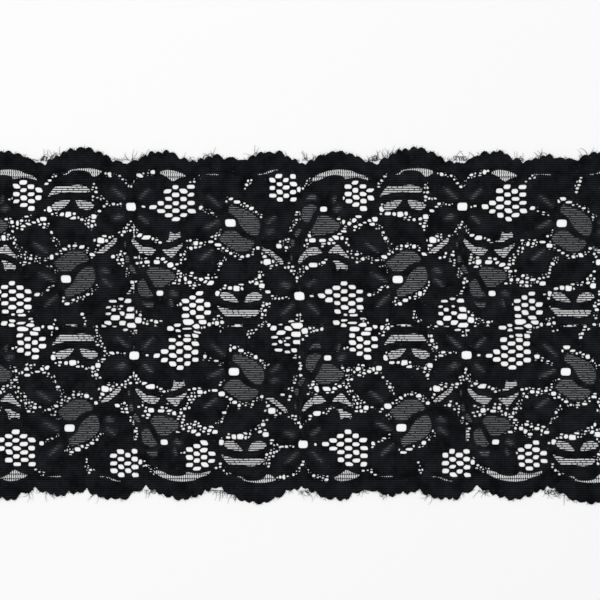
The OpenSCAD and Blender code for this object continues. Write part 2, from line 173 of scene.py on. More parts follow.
@dataclass
class OpenWork:
    """Every opening of the lace: eyes, nets, single pinholes, rows of pinholes and vein slots.

    Sizes are in millimetres, in the motif group's own u and v, except for those on the line where
    the two rows meet, which are in x and y for an upright group at k = 0 of the upper row.
    """

    nets: tuple[Net, ...] = (
        Net(
            ((8.6, 16.6), (8.6, 19), (12.8, 22), (13.4, 24.8), (17, 27.2), (24.4, 27.2), (26, 23), (26.6, 18.6),
             (24.6, 15.6), (20.6, 12), (17.2, 11.4), (13.2, 14), (10.6, 15.4)),
            (14.9, 20.9), (3.05, 3.2),
        ),
        Net(
            ((56, 18.6), (58.6, 20.2), (61.4, 20), (63.4, 18.6), (66.8, 17), (66.7, 21), (67.2, 28), (65.6, 30.6),
             (61, 30.9), (56, 30), (56.2, 26)),
            (59.5, 26.9), (2.8, 3.15),
        ),
        Net(
            ((86, 20.2), (85.8, 27.6), (89, 28.2), (94, 27.2), (98.2, 25), (97, 20.4), (94.4, 16.6), (91.2, 17),
             (88.6, 19)),
            (90, 24.4), (2.95, 2.95),
        ),
    )
    eyes: tuple[tuple[float, float, float, float], ...] = (
        (-0.2, 17.8, 3.9, 3.1), (39.4, 11.3, 4.1, 3), (77, 16.8, 2.8, 2.1),
    )
    pinholes: tuple[tuple[float, float, float, float], ...] = (
        (3.7, 30.4, 1.8, 1.2), (5.2, 31.2, 0.9, 0.8), (7.3, 31.2, 0.9, 0.7), (8.8, 31.8, 1.7, 1.4),
        (-6.7, 30.4, 0.8, 0.7), (-8.2, 30.7, 1.2, 1.4), (-9.8, 31, 0.8, 1.1),
        (-4.2, 18.8, 0.8, 0.7), (-6.9, 18.8, 1.2, 0.8), (-9.5, 18.8, 1.4, 1.1), (4.8, 17.9, 1.2, 0.8),
        (-13.9, 25.5, 0.8, 1), (-15.1, 25.5, 0.7, 1), (-14, 23.7, 1.3, 1.1),
        (-14.8, 21.9, 1.3, 1), (-13.3, 21.3, 1.1, 1), (-12, 21, 0.8, 1.3),
        (-15.1, 13.8, 2, 1.8), (-15.2, 12.1, 1.2, 0.9), (-17.1, 12.7, 1.5, 1.4), (-17.3, 11.2, 0.9, 0.9),
        (-15.9, 9.9, 1.2, 1.5), (-15.9, 8.5, 0.6, 0.8),
        (3.2, 6.5, 1.8, 1), (5.8, 5.4, 3, 1.6), (8.4, 5, 1.2, 0.9), (10, 4.5, 1.4, 1), (11.1, 3.4, 1.4, 0.8),
        (-32.7, 16.9, 1.6, 1.9), (-30, 15, 1.8, 0.9), (-27.7, 14.8, 1.6, 1.5), (-25.1, 14.8, 2.6, 1.9),
        (-23, 15, 1.2, 1.3), (-23.3, 13.4, 1.8, 0.8), (-21.3, 13.5, 0.9, 0.8), (-19.7, 12.5, 1, 1),
        (-35.4, 12.8, 2.1, 1.5), (-37.4, 12.2, 1.4, 1.6), (-36.6, 10.8, 1.8, 0.9), (-34.9, 10.6, 1, 0.8),
        (38.3, 20, 0.8, 1.2), (39.9, 20.9, 2, 1.2), (42.4, 19.7, 1.9, 1.1), (44.1, 18.6, 0.9, 0.8),
        (46.5, 18.1, 1.2, 0.7), (48.3, 17.2, 1.7, 1.3), (50.1, 15.7, 0.9, 0.9), (50.9, 14.7, 0.7, 0.7),
        (51.7, 13.7, 0.8, 0.8), (28, 17.4, 1.7, 1.4), (30, 16.7, 0.9, 0.5), (32.3, 15.5, 1.4, 0.6),
        (34, 14.6, 0.6, 0.5), (35.3, 7.7, 0.6, 0.5), (33.6, 6.1, 1, 0.8),
        (31.4, 3.7, 1.7, 0.8), (29.4, 3.7, 0.8, 0.6), (27.8, 3, 1.3, 0.9), (25.5, 3.1, 1.6, 1.5),
        (23.4, 4.4, 1.3, 0.9), (23.3, 2.9, 0.6, 1.1), (23.5, 1.3, 1.2, 1), (22, 1.3, 0.7, 0.9),
        (21.4, 0, 0.9, 0.8), (20.7, -1.2, 0.8, 0.9), (20.1, -2.5, 0.9, 0.8),
        (34.2, 2.4, 2, 1.4), (36.2, 1.2, 1.2, 0.8), (37.8, 0.2, 1.2, 0.8), (39.3, -0.8, 1.5, 0.9),
        (41.2, -2, 1.1, 1.1), (43.6, -2.1, 1.5, 0.9), (46.4, -1.7, 1.6, 1.4), (48.4, -0.5, 0.9, 0.7),
        (50.3, 1.2, 1.7, 1.2), (36.7, -2.6, 0.6, 1.1), (36, -3.8, 0.8, 0.8), (35.1, -5.1, 1.4, 1.1),
        (34.2, -7.4, 0.9, 0.9), (32.6, -9.2, 0.8, 0.7),
        (-12.4, 4.4, 2.6, 2.1), (-10.8, 5.9, 1.6, 0.7), (-9.1, 5.5, 1.1, 0.7), (-10.3, 4.2, 1, 1.2),
        (-13.6, 2.3, 1.4, 1.1), (-14.4, 1, 0.8, 0.9), (-14.8, 4.3, 0.8, 1),
        (70.9, 6, 1.6, 1.1), (72.1, 4.3, 2, 1.7), (69.9, 4.5, 1.1, 1), (70.3, 3, 0.9, 0.7), (69, 2.4, 1, 1.1),
        (76.2, 4.3, 2, 1.2), (76.6, 3, 1.5, 0.7), (78.6, 3.1, 1.2, 1.1), (79.7, 4.5, 1.5, 1.1),
        (81.4, 5.4, 1.8, 1.5), (83.3, 6.8, 1.6, 0.9), (84.8, 8, 1.5, 0.8), (84.2, 5.2, 1.2, 1),
        (85.8, 3.4, 1, 1.2), (58.8, 2.2, 1.8, 1.2), (60.6, 2.4, 0.9, 0.6), (61.7, 1.5, 1.2, 0.9),
        (62.3, 3.6, 1.3, 0.9), (62.5, 4.8, 0.9, 0.8),
        (67.4, 24.8, 1.4, 1.8), (73.4, 28.5, 1.9, 1.1), (65.9, 14.7, 1.1, 0.7), (65.9, 12.5, 1.2, 1),
        (64.5, 9.7, 0.5, 0.5), (63.9, 8.2, 0.6, 0.9), (82.8, 12.9, 1.4, 0.7), (84.9, 11.6, 1.2, 1.3),
        (85.4, 10, 0.9, 0.8), (85.2, 21, 0.7, 1.2), (87.3, 11.2, 1.3, 1.5), (89, 12.4, 1.6, 1.4),
        (90.8, 13.7, 1.6, 0.9), (89.5, 9.9, 1.8, 0.9), (91.4, 10.7, 1.6, 0.9), (93.6, 11.4, 2, 0.9),
    )
    rows: tuple[tuple[float, ...], ...] = (
        (-0.6, 25.9, -4.4, 30, 4, 1.1, 0.9), (0.5, 26.9, 2.7, 29.3, 3, 0.7, 0.5),
        (-10.5, 17.9, -12.6, 16.2, 2, 1.4, 0.8), (-4.1, 6.5, -0.8, 10.7, 4, 1.1, 0.9),
        (0.2, 9.6, 1.9, 7.2, 3, 0.7, 0.9), (-33.5, 26.9, -31, 29.7, 3, 1.1, 0.9),
        (25.5, 28, 28.3, 30, 3, 1, 0.8), (45.8, 25.1, 47.1, 28, 3, 1, 0.8),
        (69.6, 26.3, 71.6, 27.8, 3, 0.9, 0.7),
    )
    middle_line: tuple[tuple[float, float, float, float], ...] = (
        (-75, 9.7, 2.8, 1.1), (-71.6, 10.7, 2.2, 0.9), (-68.8, 9.9, 2.4, 1.4), (-68.5, 12.8, 1.7, 0.6),
        (-76.5, 7.4, 1.6, 0.9), (-74.4, 6.4, 2, 1.3), (-71.6, 7.6, 1.8, 0.8), (-67.9, 6.6, 2.6, 1.7),
        (-76.6, 4.7, 1.9, 1.2), (-71.2, 4.9, 1.7, 1.2), (-73.8, 3, 2.9, 1.8), (-68, 3.6, 3.4, 1.9),
        (-77, 1.1, 2.3, 1.6), (-71, 1.1, 2.6, 1.8), (-64.6, 2.1, 2.4, 2.2), (-67.6, 0.1, 3.8, 1.8),
        (-63.9, 4.1, 0.9, 0.9), (-65.4, 5.4, 0.8, 1.1), (-62.6, 1, 1, 1), (-69.7, -1.8, 2.2, 0.8),
        (-67.6, -2.6, 1.2, 0.7), (-65.6, -2, 1.6, 0.8), (-67.4, -4.1, 1.1, 0.8), (-74, -0.4, 1.2, 0.6),
        (-57.6, 1.4, 1.4, 1.4),
        (-51.8, -1, 2.6, 1.6), (-49, 0, 2.2, 1.2), (-48.8, -1.9, 2.2, 1), (-44.6, 1.4, 4.2, 1.8),
        (-39, 1.4, 2.6, 1.6), (-41.6, -0.3, 3, 1.6), (-45, -1.1, 4, 0.8), (-41.3, -2.7, 1.8, 0.9),
        (-36.4, 0.4, 1.6, 1.4), (-39.3, -0.9, 0.8, 0.8), (-48.3, -4.3, 1.6, 0.8), (-45, -4.1, 2.8, 1),
        (-42, -5.6, 0.9, 0.5), (-40, 3.2, 3, 1.4), (-25, 0, 1.8, 0.7), (-27.2, -0.2, 0.8, 0.4),
        (-15, 0.4, 1.5, 0.8), (-13.8, 0.2, 0.8, 0.8), (-12.3, 0.2, 1.8, 1.2), (-33.4, 0.8, 1.8, 1.6),
        (-31.2, 1.2, 1.2, 1.2),
        (-32.9, 2.7, 0.9, 0.7), (-32, -0.3, 0.8, 0.8), (-31.6, -2.2, 0.8, 1),
    )
    veins: tuple[tuple[float, float, float, float], ...] = (
        (-8.2, 25.5, -1.5, 20.7), (2.5, 20.5, 8.2, 25.2), (-8.5, 13.2, -2.3, 14), (2.2, 14, 7.5, 11.5),
        (30, 22.5, 36.5, 17.5), (28, 9, 36, 12), (53.3, 11, 58.5, 14), (52.8, 7.6, 58, 8.2),
        (26, -3.5, 33, 0.5), (80, 16.6, 85, 17.4), (80.4, 19.5, 82.5, 22),
    )
    vein_width: float = 1.0
    vein_slot: float = 0.13
    round_power: float = 3.3
    square_power: float = 4.6
    beside_share: float = 0.52
    wide_hole: float = 2.4
    eye_height: float = 2.05
    middle_growth: float = 1.12
    net_growth: float = 1.08
    growth: float = 1.16
    thread: float = 0.4
    holes: np.ndarray = field(init=False)
    skews: np.ndarray = field(init=False)
    cells: np.ndarray = field(init=False)
    vein_lines: list[tuple[float, float, float, float]] = field(init=False)

    def __post_init__(self) -> None:
        """Lay every opening of the group on the band, at each half step of both rows."""
        runs = [
            np.column_stack([
                np.linspace(r[0], r[2], int(r[4])), np.linspace(r[1], r[3], int(r[4])),
                np.full(int(r[4]), r[5]), np.full(int(r[4]), r[6]),
            ])
            for r in self.rows
        ]
        fine = np.concatenate([np.array(self.pinholes), *runs])
        fine[:, 2:] *= self.growth
        nets = np.concatenate([n.holes() for n in self.nets])
        nets[:, 2:] *= self.net_growth
        group = np.concatenate([np.array(self.eyes), fine, nets])
        laid = np.concatenate([self._laid(group, k, row) for row in (0, 1) for k in HALF_STEPS])
        middle = np.concatenate([self._middle_holes(k) for k in HALF_STEPS])
        laid = laid[~self._overlaps(laid, middle, 0.95)]
        holes = np.concatenate([laid, middle])
        wobble = np.clip(np.random.default_rng(7).normal(0, 1, holes.shape), -1.6, 1.6)
        holes[:, :2] += 0.1 * wobble[:, :2]
        small = holes[:, 2] < self.wide_hole
        wobble[holes[:, 3] > self.eye_height] *= 0.25
        holes[:, 2:] *= 1 + np.where(small, 0.2, 0.09)[:, None] * wobble[:, 2:]
        self.cells = self._beside(holes[small], holes)
        everywhere = [(vein, k, row) for row in (0, 1) for k in HALF_STEPS for vein in self.veins]
        slots = [self._vein_slots(*one) for one in everywhere]
        self.vein_lines = [
            (*BAND.place(*v[:2], k, row), *BAND.place(*v[2:], k, row)) for v, k, row in everywhere
        ]
        self.holes = np.concatenate([holes, *slots])
        self.skews = np.zeros(len(self.holes))
        self.skews[:len(holes)] = 0.14 * wobble[:, 0] + 0.08 * wobble[:, 3]

    def _beside(self, small: np.ndarray, holes: np.ndarray) -> np.ndarray:
        """Open smaller cells in the ground on both sides of most pinholes, where nothing is open yet.

        Args:
            small: The pinholes.
            holes: Every opening, including the pinholes.

        Returns:
            The cells, as rows of x, y, width and height.
        """
        rng = np.random.default_rng(11)
        cells = []
        for across, along in ((1.0, 0.25), (-1.0, -0.25), (0.2, 1.0), (-0.2, -1.0)):
            chosen = small[rng.random(len(small)) < self.beside_share]
            size = rng.uniform((0.75, 0.6), (1.5, 1.1), (len(chosen), 2))
            gap = (chosen[:, 2:] + size) / 2 + 0.3
            middle = chosen[:, :2] + gap * np.array([across, along]) + rng.normal(0, 0.12, (len(chosen), 2))
            cells.append(np.column_stack([middle, size]))
        found = np.concatenate(cells)
        wide = holes[holes[:, 2] > self.wide_hole]
        return found[~self._overlaps(found, holes, 0.6) & ~self._overlaps(found, wide, 1.5)]

    def _overlaps(self, holes: np.ndarray, others: np.ndarray, share: float) -> np.ndarray:
        """Tell which holes are nearer to any of the others than a share of their summed half sizes."""
        gap = np.abs(holes[:, None, :2] - others[None, :, :2])
        reach = (holes[:, None, 2:] + others[None, :, 2:]) / 2
        return (gap < share * reach).all(axis=2).any(axis=1)

    def _laid(self, group: np.ndarray, k: int, row: int) -> np.ndarray:
        """Place the group's openings, and drop those past the side that meets the other row."""
        x, y = BAND.place(group[:, 0], group[:, 1], k, row)
        inward = BAND.turn(k) * (1 - 2 * row) < 0
        kept = (np.abs(y) > 0.6) if inward else np.ones(len(y), bool)
        kept &= (group[:, 1] < 29.6) | (not inward)
        return np.column_stack([x, y, group[:, 2], group[:, 3]])[kept]

    def _vein_slots(self, vein: Sequence[float], k: int, row: int) -> np.ndarray:
        """Put a thin slot in each groove that a vein crosses, as long as the vein is wide there.

        The vein is a slim lens: its half width is a half sine of the way along it.
        """
        t, s = np.meshgrid(np.linspace(0, 1, 41), np.linspace(-1, 1, 9))
        length = math.dist(vein[:2], vein[2:])
        ahead = np.array([vein[2] - vein[0], vein[3] - vein[1]]) / length
        wide = self.vein_width * np.sin(math.pi * t) * s
        u = vein[0] + ahead[0] * length * t - ahead[1] * wide
        v = vein[1] + ahead[1] * length * t + ahead[0] * wide
        x, y = BAND.place(u.ravel(), v.ravel(), k, row)
        groove = np.floor(y / BAND.rib).astype(int)
        lines = np.unique(groove)
        left = np.array([x[groove == line].min() for line in lines])
        right = np.array([x[groove == line].max() for line in lines])
        wide = np.maximum(right - left, 0.4)
        tall = np.full(len(wide), self.vein_slot)
        return np.column_stack([(left + right) / 2, (lines + 0.5) * BAND.rib, wide, tall])

    def _middle_holes(self, k: int) -> np.ndarray:
        """Repeat the openings where the rows meet: each next set is turned over about the line."""
        holes = np.array(self.middle_line)
        x = holes[:, 0] + BAND.half_step * k
        return np.column_stack([x, BAND.turn(k) * holes[:, 1], self.middle_growth * holes[:, 2:]])


# ---------------------------------------------------------------------------------------------
# Outlines taken from the frame's solids
# ---------------------------------------------------------------------------------------------


@dataclass(frozen=True)
class Shape:
    """One closed outline of a solid in the frame.

    Attributes:
        edges: The outline's straight edges, as rows of x0, y0, x1, y1 in millimetres.
        top: Height of the solid's top face.
        weave: How closely it is worked, which the solid's thickness tells.
    """

    edges: np.ndarray
    top: float
    weave: Weave

    @property
    def low(self) -> np.ndarray:
        """Lowest x and y of the outline."""
        return np.minimum(self.edges[:, :2], self.edges[:, 2:]).min(axis=0)

    @property
    def high(self) -> np.ndarray:
        """Highest x and y of the outline."""
        return np.maximum(self.edges[:, :2], self.edges[:, 2:]).max(axis=0)


def weave_of(top: float) -> Weave:
    """Tell the weave from the height of a solid's top: ladders are thinnest and cloth is thickest."""
    return Weave.LADDER if top < 0.6 else Weave.SHADE if top < 0.72 else Weave.CLOTH


def node_shapes(name: str) -> list[Shape]:
    """Read the outlines of a node's loose solids.

    The mesh's triangles are joined where their corners meet, and each corner takes the lowest number
    it can reach until nothing changes, which parts the solids. A solid's outline is the set of edges
    that only one of its bottom triangles has.

    Args:
        name: A node of the frame.

    Returns:
        One shape for each loose solid.
    """
    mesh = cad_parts[name].data
    mesh.calc_loop_triangles()
    points = np.empty(len(mesh.vertices) * 3)
    mesh.vertices.foreach_get("co", points)
    corners = np.empty(len(mesh.loop_triangles) * 3, np.int64)
    mesh.loop_triangles.foreach_get("vertices", corners)
    points = points.reshape(-1, 3) / MM
    _, first, merged = np.unique(np.round(points, 4), axis=0, return_index=True, return_inverse=True)
    points, triangles = points[first], merged.reshape(-1)[corners].reshape(-1, 3)
    label = np.arange(len(points))
    while True:
        lowest = label.copy()
        np.minimum.at(lowest, triangles.ravel(), np.repeat(label[triangles].min(axis=1), 3))
        lowest = lowest[lowest]
        if np.array_equal(lowest, label):
            break
        label = lowest
    shapes = []
    for solid in np.unique(label[triangles[:, 0]]):
        own = triangles[label[triangles[:, 0]] == solid]
        height = points[own][..., 2]
        floor = own[(height < height.min() + 0.01).all(axis=1)]
        sides = np.concatenate([floor[:, [0, 1]], floor[:, [1, 2]], floor[:, [2, 0]]])
        keys, count = np.unique(np.sort(sides, axis=1), axis=0, return_counts=True)
        outline = keys[count == 1]
        edges = np.column_stack([points[outline[:, 0], :2], points[outline[:, 1], :2]])
        top = float(height.max())
        shapes.append(Shape(edges, top, weave_of(top)))
    return shapes


# ---------------------------------------------------------------------------------------------
# Cloth on a rib-aligned grid
# ---------------------------------------------------------------------------------------------

FAR_OUT = -3.0

# Faces of a grid cell for each set of corners that lie in the cloth. Corners are 0 to 3, anticlockwise
# from the lowest; 4 to 7 are the crossings on the sides between 0-1, 1-2, 2-3 and 3-0.
CELL_FACES: dict[int, tuple[tuple[int, ...], ...]] = {
    1: ((0, 4, 7),), 2: ((4, 1, 5),), 3: ((0, 1, 5, 7),), 4: ((5, 2, 6),), 5: ((0, 4, 5, 2, 6, 7),),
    6: ((4, 1, 2, 6),), 7: ((0, 1, 2, 6, 7),), 8: ((7, 6, 3),), 9: ((0, 4, 6, 3),),
    10: ((4, 1, 5, 6, 3, 7),), 11: ((0, 1, 5, 6, 3),), 12: ((7, 5, 2, 3),), 13: ((0, 4, 5, 2, 3),),
    14: ((4, 1, 2, 3, 7),), 15: ((0, 1, 2, 3),),
}


@dataclass
class MeshParts:
    """Vertices and faces gathered for one piece, written to a mesh at the end."""

    points: list[np.ndarray] = field(default_factory=list)
    faces: list[np.ndarray] = field(default_factory=list)
    thins: list[np.ndarray] = field(default_factory=list)
    count: int = 0

    def add(self, points: np.ndarray, faces: Iterable[np.ndarray], thin: np.ndarray | None = None) -> None:
        """Add a closed shell.

        Args:
            points: The shell's corners, in millimetres.
            faces: Arrays of corner numbers, each with one face to a row.
            thin: Share of the floor's light painted into each corner's colour, from 0, dense, to 1, half-worked.
        """
        self.faces += [f + self.count for f in faces if len(f)]
        self.thins.append(np.zeros(len(points)) if thin is None else thin)
        self.points.append(points)
        self.count += len(points)

    def write(self, name: str) -> bpy.types.Object:
        """Make the object: all corners and face loops go in as flat arrays."""
        mesh = bpy.data.meshes.new(name)
        points = np.concatenate(self.points) * MM
        loops = np.concatenate([f.ravel() for f in self.faces])
        sizes = np.concatenate([np.full(len(f), f.shape[1]) for f in self.faces])
        starts = np.concatenate([[0], np.cumsum(sizes)[:-1]])
        mesh.vertices.add(len(points))
        mesh.vertices.foreach_set("co", points.astype(np.float32).ravel())
        mesh.loops.add(len(loops))
        mesh.loops.foreach_set("vertex_index", loops.astype(np.int32))
        mesh.polygons.add(len(sizes))
        mesh.polygons.foreach_set("loop_start", starts.astype(np.int32))
        mesh.polygons.foreach_set("use_smooth", np.ones(len(sizes), bool))
        # Painted floor light: each corner's share, which the yarn material uses to lighten its colour.
        thin = mesh.attributes.new("thin", "FLOAT", "POINT")
        thin.data.foreach_set("value", np.concatenate(self.thins).astype(np.float32))
        mesh.update(calc_edges=True)
        mesh.validate()
        piece = bpy.data.objects.new(name, mesh)
        bpy.context.scene.collection.objects.link(piece)
        return piece


@dataclass
class Patch:
    """A grid over a rectangle of the band, lined up with the ribs, and its depth in the cloth.

    Every grid line across the band is a whole number of steps from the groove between two ribs, so
    the grooves and the slots in them are always met by a line of points.
    """

    low: Sequence[float]
    high: Sequence[float]
    step: tuple[float, float] = (0.55, 0.3)
    xs: np.ndarray = field(init=False)
    ys: np.ndarray = field(init=False)
    depth: np.ndarray = field(init=False)
    # Share of painted floor light at each point: a lighter yarn colour where the floor would show through.
    thin: np.ndarray = field(init=False)

    def __post_init__(self) -> None:
        """Lay the grid lines and start with no cloth anywhere."""
        groove = BAND.rib / 2
        first = math.floor(self.low[0] / self.step[0]) - 2
        last = math.ceil(self.high[0] / self.step[0]) + 2
        self.xs = np.arange(first, last + 1) * self.step[0]
        first = math.floor((self.low[1] - groove) / self.step[1]) - 2
        last = math.ceil((self.high[1] - groove) / self.step[1]) + 2
        self.ys = groove + np.arange(first, last + 1) * self.step[1]
        self.depth = np.full((len(self.ys), len(self.xs)), FAR_OUT)
        self.thin = np.zeros_like(self.depth)

    def window(self, low: Sequence[float], high: Sequence[float]) -> tuple[slice, slice]:
        """Give the part of the grid that covers a rectangle."""
        x0, x1 = np.searchsorted(self.xs, [low[0], high[0]])
        y0, y1 = np.searchsorted(self.ys, [low[1], high[1]])
        return slice(y0, y1), slice(x0, x1)

    def shape_depth(self, shape: Shape, margin: float) -> tuple[tuple[slice, slice], np.ndarray]:
        """Measure how deep the points near a shape lie inside its outline.

        The depth is the distance to the nearest edge, taken as negative outside. A point is inside
        when a line from it along x crosses the outline an odd number of times. Edges on the line
        where the two rows join don't count for the distance, so the cloth doesn't thin out there.

        Args:
            shape: The outline.
            margin: How far outside the outline to measure.

        Returns:
            The window of the grid and the depths in it.
        """
        win = self.window(shape.low - margin, shape.high + margin)
        x, y = np.meshgrid(self.xs[win[1]], self.ys[win[0]])
        px, py = x.ravel()[:, None], y.ravel()[:, None]
        nearest = np.empty(px.shape[0])
        odd = np.empty(px.shape[0], bool)
        x0, y0, x1, y1 = shape.edges.T
        dx, dy = x1 - x0, y1 - y0
        square = np.maximum(dx * dx + dy * dy, 1e-12)
        rise = np.where(dy == 0, 1, dy)
        on_join = np.where(np.maximum(np.abs(y0), np.abs(y1)) < 0.2, 1e3, 0.0)
        for start in range(0, len(nearest), 4000):
            a, b = px[start:start + 4000], py[start:start + 4000]
            along = np.clip(((a - x0) * dx + (b - y0) * dy) / square, 0, 1)
            gap = (a - x0 - along * dx) ** 2 + (b - y0 - along * dy) ** 2 + on_join
            nearest[start:start + 4000] = np.sqrt(gap.min(axis=1))
            crossed = ((y0 > b) != (y1 > b)) & (a < x0 + (b - y0) * dx / rise)
            odd[start:start + 4000] = crossed.sum(axis=1) % 2 == 1
        return win, np.where(odd, nearest, -nearest).reshape(x.shape)

    def unite(self, shape: Shape, margin: float = 1.5) -> None:
        """Add a shape to the cloth."""
        win, depth = self.shape_depth(shape, margin)
        self.depth[win] = np.maximum(self.depth[win], depth)

    def soften(self, times: int) -> None:
        """Round the outline's corners: each point takes the mean of itself and its eight neighbours."""
        for _ in range(times):
            for axis in (0, 1):
                before, after = np.roll(self.depth, 1, axis=axis), np.roll(self.depth, -1, axis=axis)
                self.depth = (before + self.depth + after) / 3

    def punch(self, work: OpenWork, in_ground: bool = False) -> None:
        """Cut the openings that fall on this patch.

        An opening is a rounded, slightly pointed lozenge: with e the root of the summed powers of
        the distances from its middle, each over its half size, the depth of a point in the hole is
        (1 - e) times the smaller half size. Its ends slant, because the distance along x gains a
        share of that along y. The ground also has the cells beside the pinholes. Where two openings
        meet, a thread is left along the line on which a point is as deep in the one as in the
        other.
        """
        holes = np.concatenate([work.holes, work.cells]) if in_ground else work.holes
        skews = np.concatenate([work.skews, np.zeros(len(work.cells))]) if in_ground else work.skews
        reach = holes[:, 2:] / 2 + 1
        near = (
            (holes[:, 0] + reach[:, 0] > self.xs[0]) & (holes[:, 0] - reach[:, 0] < self.xs[-1])
            & (holes[:, 1] + reach[:, 1] > self.ys[0]) & (holes[:, 1] - reach[:, 1] < self.ys[-1])
        )
        first = np.full(self.depth.shape, -9.0)
        second = first.copy()
        for hole, far, skew in zip(holes[near], reach[near], skews[near]):
            win = self.window(hole[:2] - far, hole[:2] + far)
            y = ((self.ys[win[0]] - hole[1]) / (hole[3] / 2))[:, None]
            power = work.square_power if hole[2] > 2 else work.round_power
            x = np.abs((self.xs[win[1]] - hole[0])[None, :] / (hole[2] / 2) + skew * y) + 0.05 * np.abs(y)
            e = (x ** power + np.abs(y) ** power) ** (1 / power)
            deep = (1 - e) * hole[2:].min() / 2
            second[win] = np.maximum(second[win], np.minimum(first[win], deep))
            first[win] = np.maximum(first[win], deep)
        thread = (work.thread - (first - second)) / 2
        self.depth = np.minimum(self.depth, np.maximum(-first, thread))

    def thin_veins(self, work: OpenWork) -> None:
        """Paint floor light into the colour along the veins: a bell curve across each, and a half sine along it.
        """
        for x0, y0, x1, y1 in work.vein_lines:
            low, high = np.minimum([x0, y0], [x1, y1]) - 2.5, np.maximum([x0, y0], [x1, y1]) + 2.5
            win = self.window(low, high)
            if self.depth[win].size == 0:
                continue
            x, y = np.meshgrid(self.xs[win[1]] - x0, self.ys[win[0]] - y0)
            length = math.hypot(x1 - x0, y1 - y0)
            along = (x * (x1 - x0) + y * (y1 - y0)) / length**2
            across = (x * (y1 - y0) - y * (x1 - x0)) / length
            floor_light_share = np.sin(math.pi * np.clip(along, 0, 1)) ** 0.7 * np.exp(-((across / 1.15) ** 2))
            self.thin[win] = np.maximum(self.thin[win], floor_light_share)

    def trim(self, x0: float, x1: float) -> None:
        """Cut the cloth square at two places along the band."""
        cut = np.minimum(self.xs - x0, x1 - self.xs)
        self.depth = np.minimum(self.depth, cut[None, :])

    def trace(self) -> tuple[np.ndarray, np.ndarray, np.ndarray, list[np.ndarray], np.ndarray]:
        """Follow the line of zero depth through the grid.

        Each cell is split by the straight line between the crossings on its sides, which are where
        the depth, taken as even between two corners, is zero.

        Returns:
            The x and y of each vertex, its depth and its share of painted floor light, the faces seen from
            above, and the edges of the cloth in the order that keeps the cloth on the left.
        """
        depth = self.depth.copy()
        depth[[0, -1], :] = np.minimum(depth[[0, -1], :], -0.01)
        depth[:, [0, -1]] = np.minimum(depth[:, [0, -1]], -0.01)
        solid = depth > 0
        x, y = np.meshgrid(self.xs, self.ys)
        points, depths, thins = [np.column_stack([x[solid], y[solid]])], [depth[solid]], [self.thin[solid]]
        corner = np.full(depth.shape, -1)
        corner[solid] = np.arange(solid.sum())
        count = int(solid.sum())
        crossings = []
        for axis in (1, 0):
            one = (slice(None), slice(None, -1)) if axis else (slice(None, -1), slice(None))
            two = (slice(None), slice(1, None)) if axis else (slice(1, None), slice(None))
            crossed = solid[one] != solid[two]
            share = np.clip(depth[one][crossed] / (depth[one][crossed] - depth[two][crossed]), 0.03, 0.97)
            points.append(np.column_stack([
                x[one][crossed] + share * (x[two][crossed] - x[one][crossed]),
                y[one][crossed] + share * (y[two][crossed] - y[one][crossed]),
            ]))
            depths.append(np.zeros(int(crossed.sum())))
            thins.append(self.thin[one][crossed] * (1 - share) + self.thin[two][crossed] * share)
            number = np.full(crossed.shape, -1)
            number[crossed] = count + np.arange(crossed.sum())
            count += int(crossed.sum())
            crossings.append(number)
        across, along = crossings
        cells = np.stack([
            corner[:-1, :-1], corner[:-1, 1:], corner[1:, 1:], corner[1:, :-1],
            across[:-1], along[:, 1:], across[1:], along[:, :-1],
        ], axis=-1)
        code = solid[:-1, :-1] + 2 * solid[:-1, 1:] + 4 * solid[1:, 1:] + 8 * solid[1:, :-1]
        faces, rims = [], []
        for case, polygons in CELL_FACES.items():
            rows = cells[code == case]
            for polygon in polygons:
                faces.append(rows[:, polygon])
                pairs = zip(polygon, polygon[1:] + polygon[:1])
                rims += [rows[:, (a, b)] for a, b in pairs if a > 3 and b > 3]
        whole = (np.concatenate(part) for part in (points, depths, thins))
        return *whole, faces, np.concatenate(rims)


@dataclass(frozen=True)
class Profile:
    """Cross-section of a stretch of cloth, in millimetres.

    Attributes:
        base: Height of its underside over the band's own underside.
        top: Height of its upper face, away from the edge.
        lip: Thickness right at the edge.
        rounding: How far in from the edge the upper face reaches its full height.
        rib: Height of the ribs over the grooves, half of it up and half down.
        crown: Extra height well inside a petal, where the cloth is loftiest.
    """

    base: float
    top: float
    lip: float = 0.14
    rounding: float = 0.5
    rib: float = 0.09
    crown: float = 0.0

    def shell(self, patch: Patch) -> tuple[np.ndarray, list[np.ndarray], np.ndarray]:
        """Turn a patch into a closed sheet.

        The upper face rises from the lip to the top as a quarter circle over the rounding, carries
        a cosine of the rib pitch across the band, and swells by the crown. The underside is flat
        but for a shallow copy of the ribs. The rim joins the two.

        Args:
            patch: The grid and its depths.

        Returns:
            The sheet's corners, its faces, pointing outwards, and each corner's share of painted floor light.
        """
        flat, depth, thin, faces, rims = patch.trace()
        x, y = flat.T
        part = np.clip(depth / self.rounding, 0, 1)
        rise = np.sqrt(1 - (1 - part) ** 2)
        ribs = np.cos(2 * math.pi * y / BAND.rib) / 2
        swell = self.crown * (1 - np.exp(-np.maximum(depth - self.rounding, 0) / 1.6))
        under = BAND.sag(x, y) + self.base
        top = under + self.lip + (self.top - self.base - self.lip) * rise
        top = top + self.rib * ribs * (0.3 + 0.7 * rise) + swell
        bottom = under - 0.3 * self.rib * (ribs - 0.5) * rise
        count = len(x)
        points = np.concatenate([np.column_stack([x, y, top]), np.column_stack([x, y, bottom])])
        sheet = faces + [f[:, ::-1] + count for f in faces]
        sheet.append(np.column_stack([rims[:, 1], rims[:, 0], rims[:, 0] + count, rims[:, 1] + count]))
        return points, sheet, np.concatenate([thin, thin])


def cut_area(parts: MeshParts) -> float:
    """Area of a thin sheet as it was cut, in square metres: half of its faces' area seen from above."""
    points = np.concatenate(parts.points) * MM * np.array([1.0, 1.0, 0.0])
    total = 0.0
    for face in parts.faces:
        origin = points[face[:, 0]]
        for n in range(1, face.shape[1] - 1):
            side = np.cross(points[face[:, n]] - origin, points[face[:, n + 1]] - origin)
            total += float(np.linalg.norm(side, axis=1).sum()) / 2
    return total / 2


